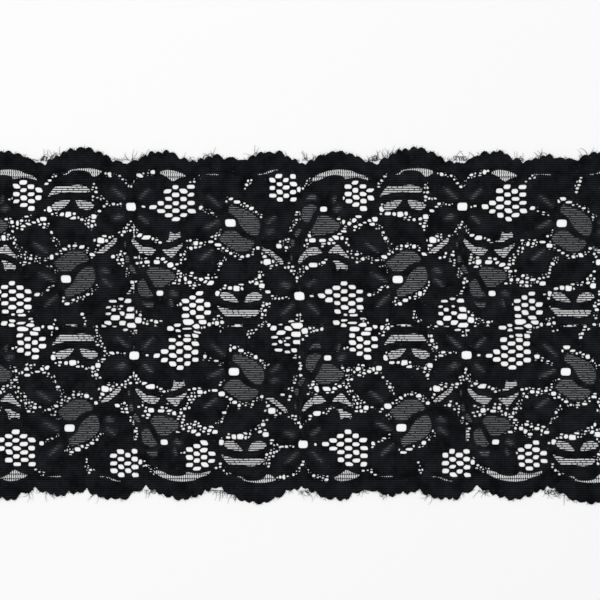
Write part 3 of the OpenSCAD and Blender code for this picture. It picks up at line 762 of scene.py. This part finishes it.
def thread_tubes(
    paths: np.ndarray, radius: np.ndarray, sides: int = 5
) -> tuple[np.ndarray, list[np.ndarray]]:
    """Sweep a round thread along many paths at once.

    A ring of points stands square to the path at each of its points: one arm of the ring is the
    path's direction crossed with straight up, and the other is that arm crossed with the direction.

    Args:
        paths: Points in millimetres, one path to a row: paths, points, x y z.
        radius: Thread radius at each point of each path.
        sides: Number of points round the thread.

    Returns:
        The tubes' corners and faces, with their ends closed.
    """
    count, length = paths.shape[:2]
    ahead = np.gradient(paths, axis=1)
    ahead /= np.maximum(np.linalg.norm(ahead, axis=2, keepdims=True), 1e-9)
    arm = np.cross(ahead, np.array([0.03, 0.02, 1.0]))
    arm /= np.maximum(np.linalg.norm(arm, axis=2, keepdims=True), 1e-9)
    other = np.cross(arm, ahead)
    angle = np.arange(sides) * 2 * math.pi / sides
    ring = np.cos(angle)[:, None] * arm[:, :, None, :] + np.sin(angle)[:, None] * other[:, :, None, :]
    points = paths[:, :, None, :] + ring * radius[:, :, None, None]
    number = np.arange(count * length * sides).reshape(count, length, sides)
    after = np.roll(number, -1, axis=2)
    walls = np.stack([number[:, :-1], number[:, 1:], after[:, 1:], after[:, :-1]], axis=-1).reshape(-1, 4)
    return points.reshape(-1, 3), [walls, number[:, 0], number[:, -1, ::-1]]


# ---------------------------------------------------------------------------------------------
# Materials
# ---------------------------------------------------------------------------------------------


@dataclass(frozen=True)
class YarnFinish:
    """Finish of one yarn of the lace.

    Attributes:
        name: Name of the material.
        shade: Colour of the yarn in the open.
        painted_light_and_lint: Colour of the painted light on the rib crests and loop legs, and of lint.
        roughness: Roughness between its lowest and highest.
        stitch: Length of one knitted loop along the rib, in metres.
        relief: Height of the bump, in metres.
        thin_shade: Colour painted on half-worked cloth and veins for the floor's light seen between fibres.
    """

    name: str
    shade: tuple[float, float, float]
    painted_light_and_lint: tuple[float, float, float]
    roughness: tuple[float, float]
    stitch: float
    relief: float
    thin_shade: tuple[float, float, float] = (0.034, 0.036, 0.041)


# The second colour is painted light on the rib crests, and also the colour of the yarn's real lint specks.
BLACK, CREST_LIGHT_AND_LINT = (0.0007, 0.0009, 0.0014), (0.024, 0.0255, 0.03)
NET_YARN = YarnFinish("net_yarn", BLACK, CREST_LIGHT_AND_LINT, (0.55, 0.8), 0.0005, 0.0001)
CLOTH_YARN = YarnFinish("clothwork_yarn", BLACK, CREST_LIGHT_AND_LINT, (0.6, 0.85), 0.00048, 0.0001)
EDGING_YARN = YarnFinish("edging_yarn", BLACK, (0.022, 0.0235, 0.028), (0.6, 0.85), 0.00048, 0.0001)
LOOP_YARN = YarnFinish(
    "loop_yarn", (0.0035, 0.0037, 0.0045), (0.01, 0.01, 0.012), (0.5, 0.75), 0.0004, 0.00006
)
SPECULAR = 0.03


class YarnShaders:
    """Builds the shared node groups once and a material for each yarn."""

    def __init__(self) -> None:
        """Make the two groups that every yarn material uses."""
        self.loops = self._loop_group()
        self.lint = self._lint_group()
        self.made: dict[str, bpy.types.Material] = {}

    def _group(self, name: str, inputs: dict[str, float], outputs: dict[str, str]) -> bpy.types.NodeTree:
        """Start a group with named float inputs and typed outputs."""
        group = bpy.data.node_groups.new(name, "ShaderNodeTree")
        for label, value in inputs.items():
            socket = group.interface.new_socket(label, in_out="INPUT", socket_type="NodeSocketFloat")
            socket.default_value = value
        for label, kind in outputs.items():
            group.interface.new_socket(label, in_out="OUTPUT", socket_type=kind)
        group.nodes.new("NodeGroupInput")
        group.nodes.new("NodeGroupOutput")
        return group

    def _feed(self, tree: bpy.types.NodeTree, socket: bpy.types.NodeSocket, value: object) -> None:
        """Give an input its value, or link it when the value is another node's output."""
        if isinstance(value, bpy.types.NodeSocket):
            tree.links.new(value, socket)
        else:
            socket.default_value = value

    def _node(self, tree: bpy.types.NodeTree, kind: str, values: dict) -> bpy.types.Node:
        """Add a node and feed its inputs, each given by name or number."""
        node = tree.nodes.new(kind)
        for label, value in values.items():
            self._feed(tree, node.inputs[label], value)
        return node

    def _maths(self, tree: bpy.types.NodeTree, operation: str, *values: object) -> bpy.types.NodeSocket:
        """Add one Math node and feed its inputs in order."""
        node = self._node(tree, "ShaderNodeMath", dict(enumerate(values)))
        node.operation = operation
        return node.outputs[0]

    def _blend(
        self, tree: bpy.types.NodeTree, factor: object, one: object, two: object
    ) -> bpy.types.NodeSocket:
        """Mix two colours by a factor."""
        node = tree.nodes.new("ShaderNodeMix")
        node.data_type = "RGBA"
        for number, value in ((0, factor), (6, one), (7, two)):
            self._feed(tree, node.inputs[number], value)
        return node.outputs[2]

    def _loop_group(self) -> bpy.types.NodeTree:
        """Knitted loops along the ribs.

        Across a rib, t runs from 0 on its crest to 1 in the groove. Along it, a sine of the distance
        over the stitch length, delayed by t, gives slanted legs that meet in a V on the crest. The
        height is that sine, lowered towards the groove; the crest mask is where a leg stands proud,
        and the rib mask is 1 less t.
        """
        group = self._group(
            "knitted_loops",
            {"Rib pitch": 0.0009, "Stitch length": 0.0007},
            {"Height": "NodeSocketFloat", "Crest": "NodeSocketFloat", "Rib": "NodeSocketFloat"},
        )
        entry, leave = group.nodes["Group Input"], group.nodes["Group Output"]
        place = group.nodes.new("ShaderNodeTexCoord").outputs["Object"]
        axes = self._node(group, "ShaderNodeSeparateXYZ", {0: place})
        ribs = self._maths(group, "DIVIDE", axes.outputs["Y"], entry.outputs["Rib pitch"])
        t = self._maths(group, "MULTIPLY", self._maths(group, "PINGPONG", ribs, 0.5), 2.0)
        along = self._maths(group, "DIVIDE", axes.outputs["X"], entry.outputs["Stitch length"])
        shifted = self._maths(group, "ADD", along, self._maths(group, "MULTIPLY", t, 0.55))
        wave = self._maths(group, "SINE", self._maths(group, "MULTIPLY", shifted, 2 * math.pi))
        leg = self._maths(group, "MULTIPLY_ADD", wave, 0.5, 0.5)
        lowered = self._maths(group, "MULTIPLY", self._maths(group, "POWER", t, 2.0), 0.7)
        falls = self._maths(group, "SUBTRACT", 1.0, lowered)
        height = self._maths(group, "MULTIPLY", leg, falls)
        self._feed(group, leave.inputs["Height"], height)
        self._feed(group, leave.inputs["Crest"], self._maths(group, "MULTIPLY", height, falls))
        self._feed(group, leave.inputs["Rib"], self._maths(group, "SUBTRACT", 1.0, t))
        return group

    def _lint_group(self) -> bpy.types.NodeTree:
        """Fibre noise: stretched for the yarn's hairs, sparse specks for lint, and soft clouds that make the
        painted light patchy.
        """
        group = self._group(
            "fibre_and_lint",
            {"Hair scale": 2600.0, "Lint scale": 900.0, "Bloom scale": 160.0},
            {"Hair": "NodeSocketFloat", "Lint": "NodeSocketFloat", "Bloom": "NodeSocketFloat"},
        )
        entry, leave = group.nodes["Group Input"], group.nodes["Group Output"]
        place = group.nodes.new("ShaderNodeTexCoord").outputs["Object"]
        stretch = self._node(group, "ShaderNodeMapping", {
            "Vector": place, "Scale": (1.0, 2.6, 1.0), "Rotation": (0.0, 0.0, 0.35),
        })
        hair, specks, cloud = (
            self._node(group, "ShaderNodeTexNoise", {
                "Vector": vector, "Scale": entry.outputs[scale], "Detail": detail, "Roughness": roughness,
            }).outputs["Fac"]
            for vector, scale, detail, roughness in (
                (stretch.outputs["Vector"], "Hair scale", 3.0, 0.5), (place, "Lint scale", 1.0, 0.5),
                (place, "Bloom scale", 4.0, 0.65),
            )
        )
        rare = self._node(group, "ShaderNodeMapRange", {"Value": specks, "From Min": 0.68, "From Max": 0.78})
        spread = self._node(
            group, "ShaderNodeMapRange",
            {"Value": cloud, "From Min": 0.35, "From Max": 0.7, "To Min": 0.35, "To Max": 1.7},
        )
        self._feed(group, leave.inputs["Hair"], hair)
        self._feed(group, leave.inputs["Lint"], rare.outputs["Result"])
        self._feed(group, leave.inputs["Bloom"], spread.outputs["Result"])
        return group

    def yarn(self, finish: YarnFinish) -> bpy.types.Material:
        """Give a yarn's material, made on first use: knitted loops and fibres for bump and for painted light.

        Args:
            finish: The yarn's colours and sizes.

        Returns:
            The material.
        """
        if finish.name in self.made:
            return self.made[finish.name]
        material = bpy.data.materials.new(f"knitted_{finish.name}")
        self.made[finish.name] = material
        material.use_nodes = True
        tree = material.node_tree
        shader = tree.nodes["Principled BSDF"]
        loops, lint = (self._node(tree, "ShaderNodeGroup", {}) for _ in range(2))
        loops.node_tree, lint.node_tree = self.loops, self.lint
        loops.inputs["Rib pitch"].default_value = BAND.rib * MM
        loops.inputs["Stitch length"].default_value = finish.stitch
        # Painted highlight: lighter where a loop leg stands proud on the crest, broken up by the fibre noise.
        crest_highlight = self._maths(tree, "MULTIPLY", loops.outputs["Crest"], lint.outputs["Hair"])
        # Painted light and shade across each rib: lighter on the crest, darker down in the groove.
        lit = self._maths(tree, "MULTIPLY_ADD", loops.outputs["Rib"], 0.3, crest_highlight)
        patchy = self._maths(tree, "MULTIPLY", lit, lint.outputs["Bloom"])
        # The lint specks are real; the rest of this mask is painted light.
        painted_light_and_lint = self._maths(tree, "MAXIMUM", patchy, lint.outputs["Lint"])
        tint = self._blend(tree, painted_light_and_lint, (*finish.shade, 1), (*finish.painted_light_and_lint, 1))
        # Painted floor light: half-worked cloth and veins turn a lighter grey, standing in for the pale floor
        # seen through them.
        thin = tree.nodes.new("ShaderNodeAttribute")
        thin.attribute_name = "thin"
        clouded = self._maths(tree, "MULTIPLY_ADD", lint.outputs["Bloom"], 0.3, 0.6)
        floor_light_share = self._maths(tree, "MULTIPLY", thin.outputs["Fac"], clouded)
        rough = self._node(
            tree, "ShaderNodeMapRange",
            {"Value": loops.outputs["Height"], "To Min": finish.roughness[1], "To Max": finish.roughness[0]},
        )
        relief = self._maths(tree, "MULTIPLY_ADD", lint.outputs["Hair"], 0.35, loops.outputs["Height"])
        bump = self._node(tree, "ShaderNodeBump", {
            "Distance": finish.relief, "Strength": 1.0, "Height": relief,
        })
        for label, value in (
            ("Specular IOR Level", SPECULAR),
            ("Base Color", self._blend(tree, floor_light_share, tint, (*finish.thin_shade, 1))),
            ("Roughness", rough.outputs["Result"]),
            ("Normal", bump.outputs["Normal"]),
        ):
            self._feed(tree, shader.inputs[label], value)
        return material


# ---------------------------------------------------------------------------------------------
# Pieces of the lace
# ---------------------------------------------------------------------------------------------


@dataclass
class LacePiece:
    """Common to all pieces of the lace: dressing, riding and reporting."""

    work: OpenWork
    shaders: YarnShaders

    def settle(self, piece: bpy.types.Object, finish: YarnFinish, node: str) -> bpy.types.Object:
        """Dress a piece, join it to the frame and log it.

        Args:
            piece: The new object.
            finish: Its yarn.
            node: The frame's node that it stands for.

        Returns:
            The same object.
        """
        piece.data.materials.append(self.shaders.yarn(finish))
        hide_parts(node)
        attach(piece, "root")
        LOG.info("%s: %d faces, for %s", piece.name, len(piece.data.polygons), node)
        return piece


@dataclass
class WorkedCloth(LacePiece):
    """Petals, leaves and scallops: the closely worked, half-worked and ladder parts of one node.

    Attributes:
        cloth: Cross-section of close cloth; shade and ladder are those of the panels.
        shade_rim: Width of the solid rim of a half-worked panel; ladder_rim is a ladder's.
        shade_open: Share of the rib pitch that is open in a half-worked panel; ladder_open likewise.
        shade_ties: Distance between the ties across a groove, and their width; ladder_ties likewise.
        fan_pitch: Distance between the ties of the edging's ladders.
        fan_tie: Width of such a tie; fan_thread is that of the threads that cross them.
        lobe_pitch: Distance between the knobs of the scalloped edge.
    """

    cloth: Profile = Profile(base=0.1, top=0.76, rounding=0.55, rib=0.11, crown=0.06)
    shade: Profile = Profile(base=0.16, top=0.5, lip=0.12, rounding=0.22, rib=0.05)
    ladder: Profile = Profile(base=0.18, top=0.42, lip=0.1, rounding=0.2, rib=0.02)
    shade_rim: float = 0.45
    shade_open: float = 0.17
    ladder_rim: float = 0.25
    ladder_open: float = 0.6
    shade_ties: tuple[float, float] = (7.7, 0.3)
    ladder_ties: tuple[float, float] = (2.1, 0.2)
    fan_pitch: float = 0.86
    fan_tie: float = 0.26
    fan_thread: float = 0.3
    lobe_pitch: float = 3.7

    def build(self, node: str, finish: YarnFinish) -> bpy.types.Object:
        """Build the piece that stands for one node.

        Args:
            node: The node's name.
            finish: The yarn that it is worked in.

        Returns:
            The new piece.
        """
        shapes = node_shapes(node)
        parts = MeshParts()
        dense = [s for s in shapes if s.weave is Weave.CLOTH]
        if dense:
            patch = Patch(np.min([s.low for s in dense], axis=0), np.max([s.high for s in dense], axis=0))
            for shape in dense:
                patch.unite(shape)
            if "edging" in node:
                patch.soften(3)
                patch.depth += self._knobs(patch)
            else:
                patch.depth += 0.07 * self._rib_ends(patch)
            patch.punch(self.work)
            # Painted floor light along the veins; the vein slots themselves are cut by punch.
            patch.thin_veins(self.work)
            patch.trim(-BAND.cut_end, BAND.cut_end)
            parts.add(*self.cloth.shell(patch))
        for shape in shapes:
            if shape.weave is not Weave.CLOTH:
                parts.add(*(self._fan(shape) if "edging" in node else self._openwork(shape)))
        return self.settle(parts.write(f"{node}_cloth"), finish, node)

    def _rib_ends(self, patch: Patch) -> np.ndarray:
        """Small steps of the outline from rib to rib: each rib's end stands a little proud."""
        return np.cos(2 * math.pi * patch.ys / BAND.rib)[:, None] * np.ones(len(patch.xs))[None, :]

    def _knobs(self, patch: Patch) -> np.ndarray:
        """Knobs of the scalloped edge: rounded lobes with sharp notches between them.

        The lobes are the size of a sine of the place along the band, whose pitch sways, and a finer
        ripple of the same kind roughens them.
        """
        x, y = np.meshgrid(patch.xs, patch.ys)
        sway = 1.3 * np.sin(x / 7.3 + 0.4 * np.sign(y)) + 0.7 * np.sin(x / 3.1)
        lobes = np.abs(np.sin(math.pi * (x + sway) / self.lobe_pitch)) - 0.62
        ripple = np.sin(x * 5.1 + 2.0 * np.sin(x / 1.7)) * np.cos(y * 3.3 + x)
        outer = np.clip((np.abs(y) - 62) / 3, 0, 1)
        return (0.3 + 0.75 * outer) * lobes + (0.08 + 0.1 * outer) * ripple

    def _fan(self, shape: Shape) -> tuple[np.ndarray, list[np.ndarray], np.ndarray]:
        """Work a ladder of the edging: slanted ties close together, crossed by a few threads.

        Each tie zigzags: it shifts along the band with the distance from the nearest second groove.
        """
        pitch, two_ribs = self.fan_pitch, 2 * BAND.rib
        patch = Patch(shape.low, shape.high, step=(0.15, 0.3))
        patch.unite(shape)
        x, y = np.meshgrid(patch.xs, patch.ys)
        zigzag = np.abs(y / two_ribs - np.round(y / two_ribs)) * two_ribs
        along = (x + 0.35 * zigzag) / pitch
        on_tie = self.fan_tie / 2 - np.abs(along - np.round(along)) * pitch
        on_thread = self.fan_thread / 2 - zigzag
        inner = np.maximum(np.maximum(on_tie, on_thread), self.ladder_rim - patch.depth)
        patch.depth = np.minimum(patch.depth, inner)
        patch.trim(-BAND.cut_end, BAND.cut_end)
        return self.ladder.shell(patch)

    def _openwork(self, shape: Shape) -> tuple[np.ndarray, list[np.ndarray], np.ndarray]:
        """Work a see-through panel: a solid rim, and ribs inside it with slots between them.

        Within the rim, a point lies in the cloth when it is near enough to a rib's crest, or near a
        tie. Ties cross each groove at even distances, and each next groove's are shifted along by
        about half of that.
        """
        half_worked = shape.weave is Weave.SHADE
        rim = self.shade_rim if half_worked else self.ladder_rim
        opening = self.shade_open if half_worked else self.ladder_open
        tie_pitch, tie_width = self.shade_ties if half_worked else self.ladder_ties
        patch = Patch(shape.low, shape.high, step=(0.36, 0.15))
        patch.unite(shape)
        groove = np.floor(patch.ys / BAND.rib)
        across = np.abs(patch.ys / BAND.rib - groove - 0.5) * BAND.rib
        on_rib = across - BAND.rib * opening / 2
        shift = (groove % 2) * tie_pitch / 2 + 0.21 * tie_pitch * np.sin(groove * 1.7)
        along = (patch.xs[None, :] + shift[:, None]) / tie_pitch
        on_tie = tie_width / 2 - np.abs(along - np.round(along)) * tie_pitch
        inner = np.maximum(np.maximum(on_rib[:, None], on_tie), rim - patch.depth)
        # Inside the rim of a half-worked panel, the colour gets painted floor light.
        if half_worked:
            patch.thin = np.clip((patch.depth - 0.5 * rim) / 0.7, 0, 1)
        patch.depth = np.minimum(patch.depth, inner)
        patch.trim(-BAND.cut_end, BAND.cut_end)
        return (self.shade if half_worked else self.ladder).shell(patch)


@dataclass
class GroundNet(LacePiece):
    """The knitted ground between the petals, in lengths of half a repeat, with every opening cut."""

    profile: Profile = Profile(base=0.0, top=0.36, lip=0.12, rounding=0.36, rib=0.06)
    lap: float = 0.6
    tail_length: float = 1.3
    tail_radius: float = 0.11

    def build(self, nodes: Sequence[str]) -> list[bpy.types.Object]:
        """Build the ground in four lengths.

        Args:
            nodes: Every node that lies on the ground, under which it stops after a short lap.

        Returns:
            The four pieces.
        """
        ground = node_shapes("ground_net")[0]
        patch = Patch((-BAND.cut_end, ground.low[1]), (BAND.cut_end, ground.high[1]), step=(0.48, 0.3))
        patch.depth[:] = 3.0
        for side in (-1, 1):
            strip = Shape(self._near_edge(ground, side), ground.top, ground.weave)
            win, depth = patch.shape_depth(strip, 1.5)
            outer = (patch.ys[win[0]] * side > 58)[:, None]
            patch.depth[win] = np.where(outer, np.minimum(patch.depth[win], depth), patch.depth[win])
        covered = np.full(patch.depth.shape, FAR_OUT)
        for node in nodes:
            for shape in node_shapes(node):
                win, depth = patch.shape_depth(shape, 1.5)
                covered[win] = np.maximum(covered[win], depth)
        patch.depth = np.minimum(patch.depth, self.lap - covered)
        patch.punch(self.work, in_ground=True)
        return [self._length(patch, n) for n in range(GROUND_LENGTHS)]

    def _near_edge(self, ground: Shape, side: int) -> np.ndarray:
        """Keep the outline's edges near one long edge, and close them with a box towards the middle."""
        middle = (ground.edges[:, 1] + ground.edges[:, 3]) / 2
        near = ground.edges[(middle * side > 60) & (np.abs(ground.edges[:, 0] - ground.edges[:, 2]) > 1e-6)]
        left = near[np.argmin(np.minimum(near[:, 0], near[:, 2]))]
        right = near[np.argmax(np.maximum(near[:, 0], near[:, 2]))]
        start = left[:2] if left[0] < left[2] else left[2:]
        end = right[:2] if right[0] > right[2] else right[2:]
        inner, wide = side * 52.0, BAND.cut_end + 5
        corners = np.array([start, (-wide, start[1]), (-wide, inner), (wide, inner), (wide, end[1]), end])
        return np.concatenate([near, np.column_stack([corners[:-1], corners[1:]])])

    def _length(self, whole: Patch, n: int) -> bpy.types.Object:
        """Cut one length out of the whole ground and give the outer ones their frayed yarn ends."""
        x0 = -BAND.cut_end + n * BAND.half_step
        x1 = x0 + BAND.half_step
        part = Patch((x0, whole.ys[2]), (x1, whole.ys[-3]), step=whole.step)
        first, last = np.searchsorted(whole.xs, [part.xs[0] - 1e-6, part.xs[-1] - 1e-6])
        low, high = np.searchsorted(whole.ys, [part.ys[0] - 1e-6, part.ys[-1] - 1e-6])
        first, low = max(first, 0), max(low, 0)
        part.xs, part.ys = whole.xs[first:last + 1], whole.ys[low:high + 1]
        part.depth = whole.depth[low:high + 1, first:last + 1].copy()
        part.thin = np.zeros_like(part.depth)
        part.trim(x0, x1)
        parts = MeshParts()
        parts.add(*self.profile.shell(part))
        area = cut_area(parts)
        if n in (0, GROUND_LENGTHS - 1):
            parts.add(*self._yarn_ends(-1 if n == 0 else 1))
        piece = self.settle(parts.write(f"ground_net_length_{n + 1}"), NET_YARN, "ground_net")
        piece["cut_area"] = area
        return piece

    def _yarn_ends(self, side: int) -> tuple[np.ndarray, list[np.ndarray]]:
        """Short yarn ends that stand out of the ribs at a cut end.

        Each is a gentle curve: straight out from the rib, then bending aside by a random amount that
        grows with the square of the distance.
        """
        rng = np.random.default_rng(31 + side)
        ribs = np.arange(-76, 77)
        ribs = ribs[(np.abs(ribs * BAND.rib) < 64) & (rng.random(len(ribs)) < 0.72)]
        count = len(ribs)
        t = np.linspace(0, 1, 6)[None, :]
        length = self.tail_length * rng.uniform(0.35, 1.3, (count, 1))
        bend = rng.normal(0, 0.5, (count, 1))
        x = side * (BAND.cut_end - 0.5 + (0.5 + length) * t)
        y = ribs[:, None] * BAND.rib + bend * t**2
        z = BAND.sag(x, y) + 0.22 + rng.uniform(-0.05, 0.25, (count, 1)) * t**2
        radius = self.tail_radius * (1 - 0.45 * t) * np.ones((count, 1))
        return thread_tubes(np.stack([x, y, z], axis=-1), radius)


@dataclass
class EdgeLoops(LacePiece):
    """Fine loops and loose threads that stand out of one scalloped edge.

    Attributes:
        valleys: Stretches along the group, in u, where the loops are long and tangled.
    """

    valleys: tuple[tuple[float, float], ...] = (
        (-36, -27), (-2, 1.5), (3, 6), (21, 24), (30, 33), (48.5, 50.5), (69, 74), (96, 98.5),
    )
    thread: float = 0.085

    def build(self, side: int) -> bpy.types.Object:
        """Build the loops of the upper edge, side 1, or the lower, side -1."""
        name = "upper" if side > 0 else "lower"
        line_x, line_y = self._edge_line(f"{name}_scallop_edging", side)
        rng = np.random.default_rng(5 + side)
        tangled = []
        for k in HALF_STEPS:
            if BAND.turn(k) == side:
                for a, b in self.valleys:
                    u = rng.uniform(a, b, int(round((b - a) * 1.8)))
                    tangled.append(BAND.place(u, 36.0, k, 0 if side > 0 else 1)[0])
        tangled = np.concatenate(tangled)
        tangled = tangled[np.abs(tangled) < BAND.cut_end - 2.5]
        looped = tangled[rng.random(len(tangled)) < 0.16]
        fuzzy = rng.uniform(2.5 - BAND.cut_end, BAND.cut_end - 2.5, 560)
        parts = MeshParts()
        parts.add(*self._loops(looped, np.interp(looped, line_x, line_y), side, rng))
        reach = rng.uniform(1.2, 4.0, len(tangled))
        parts.add(*self._hairs(tangled, np.interp(tangled, line_x, line_y), reach, 0.09, side, rng))
        reach = rng.uniform(0.3, 1.1, len(fuzzy))
        parts.add(*self._hairs(fuzzy, np.interp(fuzzy, line_x, line_y), reach, 0.06, side, rng))
        return self.settle(parts.write(f"{name}_edge_loops_yarn"), LOOP_YARN, f"{name}_edge_loops")

    def _edge_line(self, node: str, side: int) -> tuple[np.ndarray, np.ndarray]:
        """Outer line of an edging, as its corners in order along the band."""
        cloth = (s for s in node_shapes(node) if s.weave is Weave.CLOTH)
        outline = max(cloth, key=lambda s: s.high[0] - s.low[0])
        ends = outline.edges.reshape(-1, 2)
        outer = ends[ends[:, 1] * side > 66]
        order = np.argsort(outer[:, 0])
        return outer[order, 0], outer[order, 1]

    def _loops(
        self, x0: np.ndarray, edge: np.ndarray, side: int, rng: np.random.Generator
    ) -> tuple[np.ndarray, list[np.ndarray]]:
        """Loops of thread: each leaves the edge, swings out by its reach, and comes back beside its start.

        The reach is a half sine of the way along, the sideways place runs from minus to plus half
        the width with a sway that closes the neck of the loop, and a lean tips it along the edge.
        """
        count = len(x0)
        t = np.linspace(0, 1, 13)[None, :]
        reach, width = rng.uniform(0.7, 1.8, (count, 1)), rng.uniform(0.6, 1.9, (count, 1))
        lean = rng.normal(0, 0.45, (count, 1))
        out = (reach + 0.8) * np.sin(math.pi * t) - 0.8
        neck = 0.28 * np.sin(2 * math.pi * t) * rng.uniform(0.2, 1.5, (count, 1))
        sway = width * (-0.5 * np.cos(math.pi * t) - neck)
        x = x0[:, None] + sway + lean * np.maximum(out, 0)
        y = edge[:, None] + side * out
        z = BAND.sag(x, y) + 0.4 + 0.12 * np.sin(math.pi * t) * rng.uniform(-1, 1.6, (count, 1))
        radius = self.thread * rng.uniform(0.75, 1.25, (count, 1)) * np.ones_like(t)
        return thread_tubes(np.stack([x, y, z], axis=-1), radius)

    def _hairs(
        self,
        x0: np.ndarray,
        edge: np.ndarray,
        reach: np.ndarray,
        thick: float,
        side: int,
        rng: np.random.Generator,
    ) -> tuple[np.ndarray, list[np.ndarray]]:
        """Loose fibres: each heads out of the edge at its own angle and turns steadily as it goes.

        The places along a fibre are the running sums of its short steps, whose heading is a start
        angle plus a curl times the way along. It thins towards its tip.
        """
        count = len(x0)
        t = np.linspace(0, 1, 9)[None, :]
        heading = rng.uniform(-1.35, 1.35, (count, 1)) + rng.normal(0, 1.2, (count, 1)) * t
        step = (reach[:, None] + 0.6) / 8
        x = x0[:, None] + np.cumsum(step * np.sin(heading), axis=1)
        y = edge[:, None] + side * (np.cumsum(step * np.cos(heading), axis=1) - 0.7)
        z = BAND.sag(x, y) + 0.4 + rng.uniform(-0.3, 0.35, (count, 1)) * t
        radius = thick * rng.uniform(0.7, 1.2, (count, 1)) * (1 - 0.6 * t)
        return thread_tubes(np.stack([x, y, z], axis=-1), radius, 4)


# ---------------------------------------------------------------------------------------------
# Floor, lights and camera
# ---------------------------------------------------------------------------------------------


@dataclass
class Studio:
    """A pale floor under soft, even light, seen from straight above.

    Attributes:
        view_width: Width of the floor that the camera sees, in metres.
        view_centre: Point of the band under the camera.
        distance: Height of the camera.
    """

    view_width: float = 0.240
    view_centre: tuple[float, float] = (0.0, 0.0102)
    distance: float = 1.6
    floor_tone: tuple[float, float, float] = (0.9, 0.9, 0.905)

    def build(self) -> None:
        """Make the floor, the lights, the world and the camera."""
        self._floor()
        self._lights()
        self._camera()

    def _floor(self) -> None:
        """Lay a large plain floor just under the band."""
        mesh = bpy.data.meshes.new("floor")
        size = 3.0
        corners = [(-size, -size, 0), (size, -size, 0), (size, size, 0), (-size, size, 0)]
        mesh.from_pydata(corners, [], [(0, 1, 2, 3)])
        floor = bpy.data.objects.new("floor", mesh)
        bpy.context.scene.collection.objects.link(floor)
        material = bpy.data.materials.new("floor_paper")
        material.use_nodes = True
        shader = material.node_tree.nodes["Principled BSDF"]
        shader.inputs["Base Color"].default_value = (*self.floor_tone, 1)
        shader.inputs["Roughness"].default_value = 0.9
        shader.inputs["Specular IOR Level"].default_value = 0.1
        mesh.materials.append(material)

    def _lights(self) -> None:
        """Hang a wide soft box overhead, with a pale world to fill."""
        light = bpy.data.lights.new("soft_box", "AREA")
        light.shape = "RECTANGLE"
        light.size, light.size_y = 2.4, 2.0
        light.energy = 31
        box = bpy.data.objects.new("soft_box", light)
        box.location = (-0.35, 0.45, 1.9)
        box.rotation_euler = (Vector((0, 0, 0)) - box.location).to_track_quat("-Z", "Y").to_euler()
        bpy.context.scene.collection.objects.link(box)
        world = bpy.context.scene.world or bpy.data.worlds.new("studio_world")
        bpy.context.scene.world = world
        world.use_nodes = True
        sky = world.node_tree.nodes["Background"]
        sky.inputs["Color"].default_value = (1, 1, 1, 1)
        sky.inputs["Strength"].default_value = 0.52

    def _camera(self) -> None:
        """Point a long lens straight down at the band."""
        data = bpy.data.cameras.new("camera")
        data.sensor_width = 36
        data.lens = 36 * (self.distance - 0.0004) / self.view_width
        data.clip_end = 20
        camera = bpy.data.objects.new("camera", data)
        camera.location = (*self.view_centre, self.distance)
        bpy.context.scene.collection.objects.link(camera)
        bpy.context.scene.camera = camera


def main() -> None:
    logging.basicConfig(level=logging.INFO, format="%(name)s: %(message)s")
    view = bpy.context.scene.view_settings
    view.view_transform = "Standard"
    work, shaders = OpenWork(), YarnShaders()
    LOG.info("%d openings laid on the band", len(work.holes))
    cloth = WorkedCloth(work, shaders)
    names = sorted(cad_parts)
    edgings = [n for n in names if n.endswith("_scallop_edging")]
    motifs = [n for n in names if n[-1].isdigit()]
    others = [cloth.build(n, EDGING_YARN) for n in edgings]
    others += [cloth.build(n, CLOTH_YARN) for n in motifs]
    others += [EdgeLoops(work, shaders).build(side) for side in (1, -1)]
    lengths = GroundNet(work, shaders).build(edgings + motifs)
    Studio().build()
    faces = sum(len(o.data.polygons) for o in others + lengths)
    LOG.info("%d pieces with %d faces", len(others) + len(lengths), faces)


if __name__ == "__main__":
    main()
